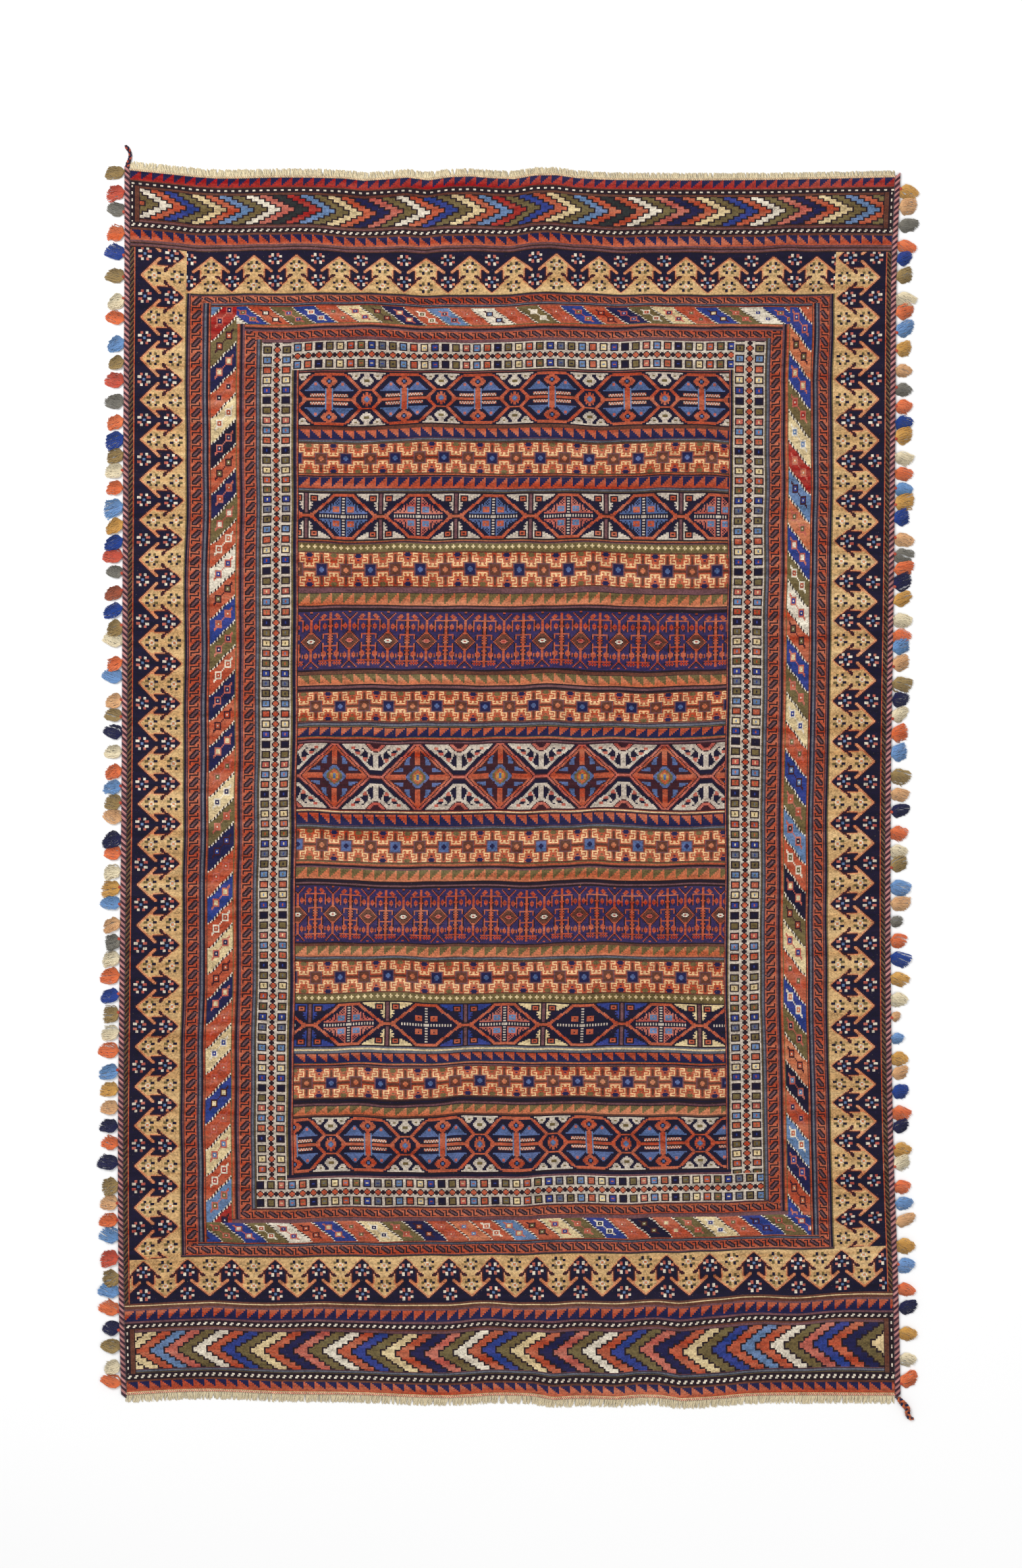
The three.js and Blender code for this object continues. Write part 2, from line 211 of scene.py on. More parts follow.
# %% The wools
WOOLS = {
    "n": (20, 14, 42), "N": (29, 27, 70), "v": (52, 40, 84), "B": (44, 58, 128), "L": (82, 100, 144),
    "l": (98, 124, 162),
    "k": (34, 18, 28), "a": (58, 20, 30), "h": (40, 42, 42),
    "R": (158, 42, 34), "r": (178, 84, 56), "s": (184, 98, 82), "P": (194, 114, 78), "p": (208, 136, 94),
    "f": (230, 184, 134),
    "b": (98, 56, 42), "m": (108, 70, 74), "g": (96, 98, 108), "o": (108, 92, 56),
    "y": (184, 136, 64), "c": (206, 166, 114), "e": (214, 190, 144), "W": (196, 182, 166),
    "w": (220, 208, 188),
}


def to_linear(colour):
    """A screen colour from 0 to 255 as the light that it stands for, with full cover at the end."""
    parts = [part / 255 for part in colour]
    return [part / 12.92 if part <= 0.04045 else ((part + 0.055) / 1.055) ** 2.4 for part in parts] + [1.0]


def linear(letter):
    return to_linear(WOOLS[letter])


print("wools:", len(WOOLS))

# %% [markdown]
# ## Wiring nodes as sums
#
# Every material below is reckoned from where a point is on the loom. Writing that with nodes takes
# many of them, so this small class lets a value in a node tree be added, multiplied and rounded like
# a number. Each sum adds one Math node, and the trees stay ordinary trees that can be opened and read.

# %% A value on its way through a node tree
def feed(place, value):
    """Gives a socket its value, or a wire from another node."""
    if isinstance(value, Flow):
        value.tree.links.new(value.socket, place)
    elif isinstance(value, bpy.types.NodeSocket):
        place.id_data.links.new(value, place)
    else:
        place.default_value = value


def add_node(tree, kind, inputs=None, **settings):
    node = tree.nodes.new(kind)
    for key, value in settings.items():
        setattr(node, key, value)
    for key, value in (inputs or {}).items():
        feed(node.inputs[key], value)
    return node


def reckon(tree, operation, *values):
    node = add_node(tree, "ShaderNodeMath", dict(enumerate(values)), operation=operation)
    return Flow(tree, node.outputs[0])


class Flow:
    """A value in a node tree that can be reckoned with like a number."""

    def __init__(self, tree, socket):
        self.tree = tree
        self.socket = socket

    def __add__(self, other):
        return reckon(self.tree, "ADD", self, other)

    def __sub__(self, other):
        return reckon(self.tree, "SUBTRACT", self, other)

    def __rsub__(self, other):
        return reckon(self.tree, "SUBTRACT", other, self)

    def __mul__(self, other):
        return reckon(self.tree, "MULTIPLY", self, other)

    def __truediv__(self, other):
        return reckon(self.tree, "DIVIDE", self, other)

    def __mod__(self, other):
        return reckon(self.tree, "FLOORED_MODULO", self, other)

    def __pow__(self, other):
        return reckon(self.tree, "POWER", self, other)

    def __rpow__(self, other):
        return reckon(self.tree, "POWER", other, self)

    def __abs__(self):
        return reckon(self.tree, "ABSOLUTE", self)

    def floor(self):
        return reckon(self.tree, "FLOOR", self)

    def fraction(self):
        return reckon(self.tree, "FRACT", self)

    def nearest(self):
        return reckon(self.tree, "ROUND", self)

    def at_least(self, other):
        return reckon(self.tree, "MAXIMUM", self, other)

    def at_most(self, other):
        return reckon(self.tree, "MINIMUM", self, other)

    def below(self, other):
        return reckon(self.tree, "LESS_THAN", self, other)

    def equals(self, other):
        """1 where both are the same whole number, which 0.3 either way can't blur, and else 0."""
        return reckon(self.tree, "COMPARE", self, other, 0.3)


def new_group(name, kind, inputs, outputs):
    """A node group with its named sockets, and the wires that come in at its input."""
    group = bpy.data.node_groups.new(name, kind)
    for label, socket in inputs.items():
        group.interface.new_socket(label, in_out="INPUT", socket_type=socket)
    for label, socket in outputs.items():
        group.interface.new_socket(label, in_out="OUTPUT", socket_type=socket)
    entry = group.nodes.new("NodeGroupInput")
    leave = group.nodes.new("NodeGroupOutput")
    return group, {label: Flow(group, entry.outputs[label]) for label in inputs}, leave


def split(tree, vector, parts=2):
    """The first parts of a vector, as values to reckon with."""
    node = add_node(tree, "ShaderNodeSeparateXYZ", {0: vector})
    return [Flow(tree, node.outputs[i]) for i in range(parts)]


def join(tree, x, y, z=0.0):
    return add_node(tree, "ShaderNodeCombineXYZ", {0: x, 1: y, 2: z}).outputs[0]


def grain(tree, place, **more):
    """A soft random pattern from 0 to 1."""
    values = {"Vector": place, "Scale": 1.0, "Detail": 2.0, **more}
    return Flow(tree, add_node(tree, "ShaderNodeTexNoise", values).outputs["Fac"])


def pick(tree, share, base, other):
    """The base colour, or the other one by so large a share."""
    return add_node(tree, "ShaderNodeMix", {0: share, 6: base, 7: other}, data_type="RGBA").outputs[2]


# %% [markdown]
# ## Charts
#
# A weaver works a motif from a chart: a small drawing in squares, one letter for each stitch. The
# charts further down are typed in the same way, and a motif that is the same on both sides of its
# middle is charted once and folded.
#
# A shader has no lookup table, but a Color Ramp with constant steps is one. Eight stitches are packed
# into one number, three bits each, three such numbers into one colour, and up to 32 rows into one ramp.
# The group below finds the row, picks the colour channel, and unpacks the stitch with a power and a
# remainder. It is exact, because such a number fits in a float without rounding. Three bits tell eight
# wools apart, so a chart has no more than eight letters.

# %% A shader group that reads a chart
RAMP_STOPS = 32
PACK = 8  # stitches in one number, and letters that a chart may have
CHANNELS = 3
JUST_INSIDE = 0.9999  # of a repeat, so that its far end still falls on the last stitch


def ramp_of(tree, colours, number):
    """A Color Ramp of constant steps: colour 0 where the number is 0, colour 1 where it is 1, and on."""
    node = add_node(tree, "ShaderNodeValToRGB", {"Fac": (number + 0.5) / RAMP_STOPS})
    node.color_ramp.interpolation = "CONSTANT"
    stops = node.color_ramp.elements
    stops.remove(stops[1])
    for i, colour in enumerate(colours):
        stop = stops[0] if i == 0 else stops.new(i / RAMP_STOPS)
        stop.position = i / RAMP_STOPS
        stop.color = colour
    return node.outputs["Color"]


def packed(text, letters):
    """Eight stitches as one number from 0 to 1."""
    units = (letters.index(letter) * PACK ** (PACK - 1 - i) for i, letter in enumerate(text))
    return sum(units) / PACK**PACK


def chart_group(name, rows, turned=False, fold_along=False, fold_across=False):
    """A group that gives the number of the wool at a place in a chart. Each text in rows runs along the
    band, or across it where the chart is turned. A chart that is folded along starts at the middle of
    its motif, and one folded across starts at the middle of the band."""
    letters = sorted(set("".join(rows)))
    assert len(letters) <= PACK, f"too many wools for one chart: {name}"
    if len(rows) > RAMP_STOPS:
        rows = ["".join(column) for column in zip(*rows)]
        turned = not turned
    group, wires, leave = new_group(
        name, "ShaderNodeTree", {"Along": "NodeSocketFloat", "Across": "NodeSocketFloat"},
        {"Wool number": "NodeSocketFloat"},
    )
    along, across = wires["Along"], wires["Across"]
    along = reckon(group, "PINGPONG", along, 0.5) * 2 if fold_along else along.fraction()
    across = abs(across * 2 - 1) if fold_across else across
    line, stitch = (along, across) if turned else (across, along)
    width = len(rows[0])
    line = (line.at_least(0).at_most(JUST_INSIDE) * len(rows)).floor()
    stitch = (stitch.at_least(0).at_most(JUST_INSIDE) * width).floor()
    block = (stitch / PACK).floor()
    held = None
    for start in range(0, width, PACK * CHANNELS):
        cuts = range(start, start + PACK * CHANNELS, PACK)
        colours = [[packed(text[cut:cut + PACK], letters) for cut in cuts] + [1] for text in rows]
        channels = add_node(group, "ShaderNodeSeparateColor", {0: ramp_of(group, colours, line)}).outputs
        for i in range(min(CHANNELS, math.ceil((width - start) / PACK))):
            here = Flow(group, channels[i]) * block.equals(start / PACK + i)
            held = here if held is None else held + here
    unit = (PACK ** (PACK - 1 - (stitch - block * PACK))).nearest()
    feed(leave.inputs["Wool number"], ((held * PACK**PACK) / unit).floor() % PACK)
    return group, letters


# %% [markdown]
# ## Stitches, dye, wear and painted shade
#
# Two effects are the same all over the cloth, so each is a group that every material places.
# Stitches gives the small slanted wraps, leaning one way in one row and the other way in the next.
# Handspun takes a flat colour and makes wool of it: long streaks where one dye lot gave way to the next,
# shorter patches, a shade of its own for each stitch, painted shade that darkens the creases, and a few
# pale worn spots.

# %% A shader group for the stitches
LEAN = 0.55  # of a wrap's width, that a wrap leans over in its row


def stitches_group():
    """Height is 0 in the creases and 1 on top of a wrap, Shade is one random number for each wrap."""
    group, wires, leave = new_group(
        "stitches", "ShaderNodeTree",
        {"Weave": "NodeSocketVector", "Row height": "NodeSocketFloat", "Wrap width": "NodeSocketFloat"},
        {"Height": "NodeSocketFloat", "Shade": "NodeSocketFloat"},
    )
    x, y = split(group, wires["Weave"])
    row = y / wires["Row height"]
    lean = (row.floor() % 2) * (2 * LEAN) - LEAN
    wrap = x / wires["Wrap width"] + lean * row.fraction()
    ridge = 1 - abs(row.fraction() * 2 - 1) ** 3
    bead = 1 - (abs(wrap.fraction() * 2 - 1) ** 3) * 0.6
    feed(leave.inputs["Height"], ridge * bead)
    stitch = join(group, wrap.floor(), row.floor())
    shade = add_node(group, "ShaderNodeTexWhiteNoise", {"Vector": stitch}, noise_dimensions="2D")
    feed(leave.inputs["Shade"], shade.outputs["Value"])
    return group


STITCHES = stitches_group()

# %% A shader group for the wool
STREAKS = (2.2, 60)  # of them to a metre, across and along
PATCHES = (30, 95)
WORN_SPOTS = {"Scale": 260.0, "Detail": 3.0, "Roughness": 0.7}
WORN_FROM = 0.66  # of the pattern, above which a spot is worn
WORN_EDGE = 12  # how sharply a worn spot ends


def handspun_group():
    """Height and Shade come from the stitches or the yarn. Streaks, Heather, the crease input and Wear say
    how strong each effect is; the crease input darkens the low places, where Height is small, as painted
    shade.
    Streaks also turn the hue a little, as another dye lot would."""
    group, wires, leave = new_group(
        "handspun", "ShaderNodeTree",
        {"Color": "NodeSocketColor", "Weave": "NodeSocketVector", "Height": "NodeSocketFloat",
         "Shade": "NodeSocketFloat", "Streaks": "NodeSocketFloat", "Heather": "NodeSocketFloat",
         "Crease": "NodeSocketFloat", "Wear": "NodeSocketFloat"},
        {"Color": "NodeSocketColor", "Roughness": "NodeSocketFloat"},
    )
    x, y = split(group, wires["Weave"])
    lots = grain(group, join(group, x * STREAKS[0], y * STREAKS[1]))
    streak = (lots - 0.5) * wires["Streaks"]
    heather = (wires["Shade"] - 0.5) * wires["Heather"]
    patch = (grain(group, join(group, x * PATCHES[0], y * PATCHES[1])) - 0.5) * wires["Streaks"]
    # painted shade: the colour is darker where Height is low, in the creases, as much as the crease input
    # says
    value = streak + patch + heather - (1 - wires["Height"]) * wires["Crease"] + 1
    tones = {"Hue": streak * 0.05 + 0.5, "Saturation": streak * -0.5 + 1, "Value": value}
    toned = add_node(group, "ShaderNodeHueSaturation", {**tones, "Color": wires["Color"]})
    worn = ((grain(group, wires["Weave"], **WORN_SPOTS) - WORN_FROM) * WORN_EDGE).at_least(0).at_most(1)
    feed(leave.inputs["Color"], pick(group, worn * wires["Wear"], toned.outputs["Color"], linear("e")))
    feed(leave.inputs["Roughness"], wires["Shade"] * 0.12 + 0.84)
    return group


HANDSPUN = handspun_group()


# %% What all wool materials have in common
def new_material(name):
    material = bpy.data.materials.new(name)
    material.use_nodes = True
    material.node_tree.nodes.clear()
    return material, material.node_tree


def wool_shader(tree, wool, height, depth, strength, sheen):
    """The end of a wool material: matt, with a soft sheen, and with bumps as high as depth in metres."""
    bump = add_node(tree, "ShaderNodeBump", {"Height": height, "Distance": depth, "Strength": strength})
    shader = add_node(
        tree, "ShaderNodeBsdfPrincipled",
        {"Base Color": wool.outputs["Color"], "Roughness": wool.outputs["Roughness"],
         "Normal": bump.outputs["Normal"], "Sheen Weight": sheen, "Sheen Roughness": 0.5,
         "Specular IOR Level": 0.2},
    )
    add_node(tree, "ShaderNodeOutputMaterial", {"Surface": shader.outputs["BSDF"]})


# %% A cloth material from a colour that is worked out
ROW_PITCH = 2.3
WRAP_WIDTH = 2.6


def cloth_material(name, colour_of):
    """colour_of gets the tree, the place along and the place across the band, and gives the colour."""
    material, tree = new_material(name)
    weave = add_node(tree, "ShaderNodeUVMap", uv_map="weave").outputs["UV"]
    along, across = split(tree, add_node(tree, "ShaderNodeUVMap", uv_map="chart").outputs["UV"])
    sizes = {"Weave": weave, "Row height": ROW_PITCH * MM, "Wrap width": WRAP_WIDTH * MM}
    stitches = add_node(tree, "ShaderNodeGroup", sizes, node_tree=STITCHES)
    # the crease setting is painted shade in the creases between the wraps
    settings = {
        "Color": colour_of(tree, along, across), "Weave": weave, "Height": stitches.outputs["Height"],
        "Shade": stitches.outputs["Shade"], "Streaks": 0.75, "Heather": 0.5, "Crease": 0.5, "Wear": 0.3,
    }
    wool = add_node(tree, "ShaderNodeGroup", settings, node_tree=HANDSPUN)
    wool_shader(tree, wool, stitches.outputs["Height"], depth=0.6 * MM, strength=0.7, sheen=0.12)
    return material


# %% Colours from charts and from runs of wools
def run_of_wools(tree, wools, number):
    """The colour of one repeat, in a run of wools that starts again at its end."""
    place = number % len(wools)
    colour = ramp_of(tree, [linear(wool) for wool in wools[:RAMP_STOPS]], place)
    if len(wools) > RAMP_STOPS:
        late = ramp_of(tree, [linear(wool) for wool in wools[RAMP_STOPS:]], place - RAMP_STOPS)
        colour = pick(tree, 1 - place.below(RAMP_STOPS - 0.5), colour, late)
    return colour


def charted(name, chart, runs=None, folded=False):
    """A material for one chart. runs: for a digit in the chart, its wools repeat by repeat, which repeat
    comes first, and whether it stands between two motifs. The wools of a folded chart's motifs change
    half way between them."""
    group, letters = chart

    def colour_of(tree, along, across):
        reader = add_node(tree, "ShaderNodeGroup", {"Along": along, "Across": across}, node_tree=group)
        number = Flow(tree, reader.outputs["Wool number"])
        colour = ramp_of(tree, [linear("w" if letter.isdigit() else letter) for letter in letters], number)
        for digit, (wools, first, between) in (runs or {}).items():
            half = 0.5 if folded and not between else 0
            repeat = (along + half).floor() + (first + 10 * len(wools))
            here = number.equals(letters.index(digit))
            colour = pick(tree, here, colour, run_of_wools(tree, wools, repeat))
        return colour

    return cloth_material(name, colour_of)


print("shader groups:", [group.name for group in bpy.data.node_groups])

# %% [markdown]
# ## The charts of the field
#
# The octagons, crossed hexagons, lattices and big diamonds are the same left and right and top and
# bottom of their middle, so a quarter is charted. The trees are only folded left and right. Digits are
# places that change colour from one repeat to the next, and a run of letters gives those colours.

# %% Octagons
OCTAGONS = chart_group("chart octagons", [
    "rrlrrrrrrrrrrrrrrrrrnnnnrrLl", "rrlkkkkkkkkkkkkkkrrrnnnnrrrL", "rrlWrWrWrWrWrWnnnnrrrnnnnrrr",
    "rrlrWrWrWrWrWrnnnnnrrrnnnrnr", "rrlnnnnnnnnnnnnnnnnnrrrnnnnr", "rrlnnnnnnnnnnnnnnnnnnrrrnnnn",
    "rrlLLLLLLLLLLLLLLLnnnnrrrrrr", "rrlnLLLLLLLLLLLLnnnnnrrrkkkk", "rnnnnLLLLLLLLLLnnnnnrrrnnnnn",
    "rrnnnnLLLLLLLLnnnnnrrrnnnnnW", "rrrrnnnLLssLLnnnnnrrrnnnnWWW", "nrrrrnnnLssLnnnnnrrrnnnnWWWW",
    "LnrrrrnnnLLnnnnnrrrnnnnWWWoo", "LnrrrrnnnnnnnnnrrrnnnnnWWWoo", "nrrrrnnnnnnnnnrrrnWWWnnnWWWW",
    "rrrrnnnnnnnnnrrrnWWWWWnnnWWW", "rrnnnnnnnnnnrrrnnWWooWWnnnWW", "rrrrrrrrrrrrrnnnWWWWWWWnnnWW",
    "rrrrrrrrrrrnnnWWWWWWWWWWWWWW", "kkkkkkkkkkkkkkkkkkkkkkkkkkkk",
], fold_along=True, fold_across=True)
print("wools of the octagons:", OCTAGONS[1])

# %% Crossed hexagons
HEXAGONS = chart_group("chart crossed hexagons", [
    "WWnWnWnWnWnWnWnWnWnnnnrrrrrr", "nnnnnnnnnnnnnnnnnnnnnrrrrkkk", "Wn1111111111111111nnrrrnnnkm",
    "nn12222211n11n11nnnrrrnnnnkm", "Wn1222221n11n1nnnrrrnnnnn3km", "nn1221221n11nnnnrrrnnnnn33km",
    "Wn1222221n1nnnnrrrnnnnnnn3km", "nn1111111n1nnnrrrnnnnnn333km", "Wn11n11n1nnnnrrrnnnnnnnn33km",
    "nn1n1n1nnnnrrrnnnnnnnnn333km", "Wn11n1nnnnrrrnnnnnnnkkkkk3km", "nn1n1nnnnrrrnnnnn33nrrrrk3km",
    "Wn11nnnnrrrnnnn3333nrkkrk3km", "nn1nnnnrrrnnn333333nrrrrk3km", "rrrrrrrrrnn33333333nkkkkk3km",
    "rrrrrrrrkk3333333333333333km", "kkkkkkkkkkkkkkkkkkkkkkkkkkkk",
], fold_along=True, fold_across=True)
print("wools of the hexagons:", HEXAGONS[1])

# %% Lattice of small squares
LATTICE = chart_group("chart lattice", [
    "2211mbbbbb", "2111mrrrrr", "1111mrffff", "1111mrfrrf", "mmmmmrffrf", "brfffffrrr", "brfrrrfrrr",
    "brfrfffrr3", "brfrrrrrrr", "brffffrr33", "brrrrfr333", "rrffffrr33", "bbbbbbbbbb",
], fold_along=True, fold_across=True)

# %% Trees between big diamonds
TREES = chart_group("chart trees", [
    "kkkkkkkkkkkkkkk", "vvvvvvvvvvvvvvr", "rvvvvvvvvrkvvvk", "rvvvrrvvvvrkvvv", "rvvrrrrvvvvrkvv",
    "rvvvrRrrvvvvrkv", "rvvvvrrvvvvvvrk", "rrrrrrrrrvvvvvr", "rkvvvvvvrkvvvvr", "rkvvvvvvrkvvvvr",
    "rkvvrvvvrkvrvvr", "rkvrrrvvrkrrrvr", "rrkrRrvvrrrRrvr", "rkvrrrvvrkrrrvr", "rkvvrvvvrkvrvvr",
    "rkvvvkvvrkvvvvr", "rkvvvvvvvvvvvkr", "rkvvvvvvvvvvkrr", "rrrrrrvvvvvkrbb", "rkvvvrkvvvkrbbb",
    "rrkvvrkvvkrbbbb", "rkvvvrkvkrbbbkb", "rrkvvvvkrbbbk33", "rkvvvvvrbbbb33R", "rrkvvvvkrbbbk33",
    "rkvvvrkvkrbbbkb", "rkvvvrkvvkrbbbb", "rrrrrrkvvvkrbbb", "rkvvvrkvvvvkrbb", "rkvvvrkvvvvvkrr",
    "rrkvvrkvvvvvvkr", "rkvvrrkvvvvvvvr", "rkvrrrrvvvvrvvr", "rrkrRrrvrvrrrvr", "rkvrrrrvrkrRrvr",
    "rkvvrrkvrkrrrvr", "rkvvvrkvvvvrvvr", "rkvvvrkvvvvvvvr", "rrrrrrrrrvvvvvr", "rkvrvrvrvkvvvrk",
    "rvrRrRrRrkvvrkv", "rvvrvrvrvvvrkvv", "rvvvvvvvvvrkvvv", "vvvvvvvvvrkvvvr", "vvvvvvvvvvvvvvv",
    "kkkkkkkkkkkkkkk",
], fold_along=True)

# %% Big diamonds
DIAMONDS = chart_group("chart big diamonds", [
    "LyyrooLLLrrrrrrrrrrrrrrrrassssss", "LyyrooLLarrrrrrrrrrrrrrrassaaaaa",
    "yrrooLLaaaaaaaaaaaaaarrassannnnn", "rrooLLaaaaaaaaaaaaaarrassannnnnn",
    "rooLaaaaaaaLLLLLLLarrassannnnnnn", "oLLLaaaaaaaLLLLLaarrassannnWWWWW",
    "LLLaaaaaaaaLLLaaarrassannnWWWWWW", "LLaaaaaaaaaaaaarrassannnnWWWWnWW",
    "aaaaaaaaaaaaaarrassannnnWWWnnnWW", "rraaaaLLLLaaarrassannnnWWWnnnnWW",
    "rraaaaLLLLaarrassannnnWWWnnnnnWW", "rraaaaLLLaarrassannnnWWssWnnnnWW",
    "rraaaaLLLarrassannnnWWsssWnnnnWW", "rraaaaLLarrassannnnWWWssssWnnnWW",
    "rraaaLLarrassannnnWWWWnnnnWnnnWW", "rraaaarrassannnnWWWWnnnnnnWWnnWW",
    "rraaarrassannnnWWsssWnnnnnWWnWWW", "rraarrassannnWWWssssWWnnnnWWWWWW",
    "rrarrassannnWWWWnnnnWWWnnWWWWWaa", "rrrrassannnWWWWnnnnWWWWnWWWWasss",
    "rrrassannWWWWsssWWWWWnnWWWWassss", "rrassannWWWWWsssWWWWWWWWWWasssaa",
    "rassannWWWWWWWWWWWWWWWWWWasssaaa", "sssannWWWWWWWWWWWWWWWWWWasssaaaa",
    "aaaaaaaaaaaaaaaaaaaaaaaaaaaaaaaa",
], fold_along=True, fold_across=True)

# %% [markdown]
# ## The charts of the borders
#
# Along a border the lines of a chart run across the band, so that the same chart turns round the
# corners with it. The leaf border alternates camel and navy ground, and its petals swap their colours.
# The diagonal border changes wool with every stripe: 1 is the stripe itself, 2 the one before it and
# 0 the one after.

# %% Leaf border
LEAVES = chart_group("chart leaf border", [
    "nnnappccccccwppwcccccccccccccwppwccccc", "nnnnappccnnncwwcooocccccccnnncwwcooocc",
    "nnnnnappcnnnccccooocccccccnnnccccooocc", "nnnnnnappccooccnnccccaacccccooccnncccc",
    "nnnnnnnappcooccnnccccaaaccccooccnncccc", "nnnnnnnnappccccccccccaaapccccccccccccc",
    "nnnnnnnnnappccccccccccaaapcccccccccccc", "nnnnnnnnnnappcccppppppppaaapcccccccccc",
    "nnnnnnnnnnnappppaaaaaaaaaaaapccccccccc", "nnnnnnnnnnnnapppannnnnnnnnnaapcccccccc",
    "nnnnnnnnnnnnnapppannnnnnnnnnaapccccccc", "nnnnssnnwwnnnnapppannnnnssnnwwaapccccc",
    "nnnnssnnwwnnnnnapppannnnssnnwwnnapcccc", "nnwwwnnnnsssnnnnappannwwwnnnnsssnapccc",
    "nnwwwnnnnsssnnnnnnnnnnwwwnnnnsssnnapcc", "nnnnnnllnnnnnnnnnnnnnnnnnnllnnnnnnnapc",
    "nnnnnnllnnnnnnnnnnnnnnnnnnllnnnnnnnapc", "nnsssnnnnwwwnnnnnnnnnnsssnnnnwwwnnapcc",
    "nnsssnnnnwwwnnnnappannsssnnnnwwwnapccc", "nnnnwwnnssnnnnnapppannnnwwnnssnnapcccc",
    "nnnnwwnnssnnnnapppannnnnwwnnppaapccccc", "nnnnnnnnnnnnnapppannnnnnnnnnaapccccccc",
    "nnnnnnnnnnnnapppannnnnnnnnnaapcccccccc", "nnnnnnnnnnnappppaaaaaaaaaaaapccccccccc",
    "nnnnnnnnnnappcccppppppppaaapcccccccccc", "nnnnnnnnnappccccccccccaaapcccccccccccc",
    "nnnnnnnnappccccccccccaaapccccccccccccc", "nnnnnnnappcnnccooccccaaaccccnnccoocccc",
    "nnnnnnappccnnccooccccaacccccnnccoocccc", "nnnnnappcoooccccnnncccccccoooccccnnncc",
    "nnnnappccooocwwcnnncccccccooocwwcnnncc", "nnnappccccccwppwcccccccccccccwppwccccc",
], turned=True)

# %% Diagonal border, squares and small guards
DIAGONAL = chart_group("chart diagonal border", [
    "222222222wk11111311", "22222222kw111113311", "2222222wk1133333111", "222222kw11134443111",
    "22222wk111134w43111", "2222kw1111134443111", "222wk11111133333111", "2kw1111111311111111",
    "w11111111311111111w", "11113333311111111wk", "1111344431111111kw0", "111134w43111111wk00",
    "11113444311111kw000", "1111333331111wk0000", "11133111111kw000000", "1113111111wk0000000",
], turned=True)
SQUARES = chart_group("chart squares", [
    "rrkWk11211kW", "rkWWk11111kW", "kWWWkkkkkkkW", "kkWWWWWWWWWW",
], turned=True, fold_along=True, fold_across=True)
HOOKS = chart_group("chart hooks", [
    "rkkkkkkkr", "rkrrrrrrr", "rkrrrkkkr", "rrrrkkmmk", "rrrkkmmkr",
    "rrkkmmkkr", "rkkmmkkrr", "rkmmkkrrr", "rkkkkrrkr", "rrrrrrrkr",
], turned=True)
CROSSES = chart_group("chart crosses", ["ooooo", "ooeoo", "oeeeo", "ooeoo", "ooooo", "ooooo"])
SCROLLS = chart_group("chart scrolls", ["kkkkk", "kkwwk", "kwwkk", "kkkkk"])
DASHES = chart_group("chart dashes", ["kkkkk", "kwwkk", "kkkkk"])
TWILL = chart_group("chart twill", ["kkob", "kobk", "obkk", "bkko"], turned=True)
TEETH = chart_group("chart teeth", ["111112", "111122", "111222", "112222", "122222", "222222"])
print("charts:", len([g for g in bpy.data.node_groups if g.name.startswith("chart")]))

# %% [markdown]
# ## Bands and materials
#
# Now the cloth can be divided like a weaver's plan: 88 rows of ornament from the top end to the
# bottom end, and 12 columns down each side. A name with eight letters is a band of thin stripes, its
# wools from the outside in. All other names are the patterns that have just been charted.

# %% The plan of the rug, row by row
# what is woven, its height, the length of its repeat, and how far from the left its first motif is
TOP_END_ROWS = [
    ("eeeerrbb", 2.6), ("teeth navy red", 18.6, 21.1, 0), ("bbbbbbbb", 2.0), ("dashes", 9.0, 13.9, 0),
    ("kbbbbbbk", 5.3), ("chevrons top", 57.5, 26.7, -15.2), ("kkbbbmmb", 7.3), ("scrolls", 10.9, 12.6, 0),
    ("bbbbbbbb", 3.9), ("teeth navy orange", 18.8, -21.1, 0), ("mmbkmmbk", 13.6),
]
TOP_BORDER_ROWS = [
    ("leaves", 81.3, 85.0, 47.5), ("oonnnmmk", 5.4), ("hooks", 13.0, -27.0, 0), ("mnggnkrb", 7.8),
    ("diagonal top", 33.0, -44.0, 0), ("orrbknmm", 13.2), ("hooks", 14.9, -27.0, 0), ("mmmmmmmk", 6.6),
    ("squares", 54.5, 20.8, 10), ("oonnnmrk", 4.9),
]
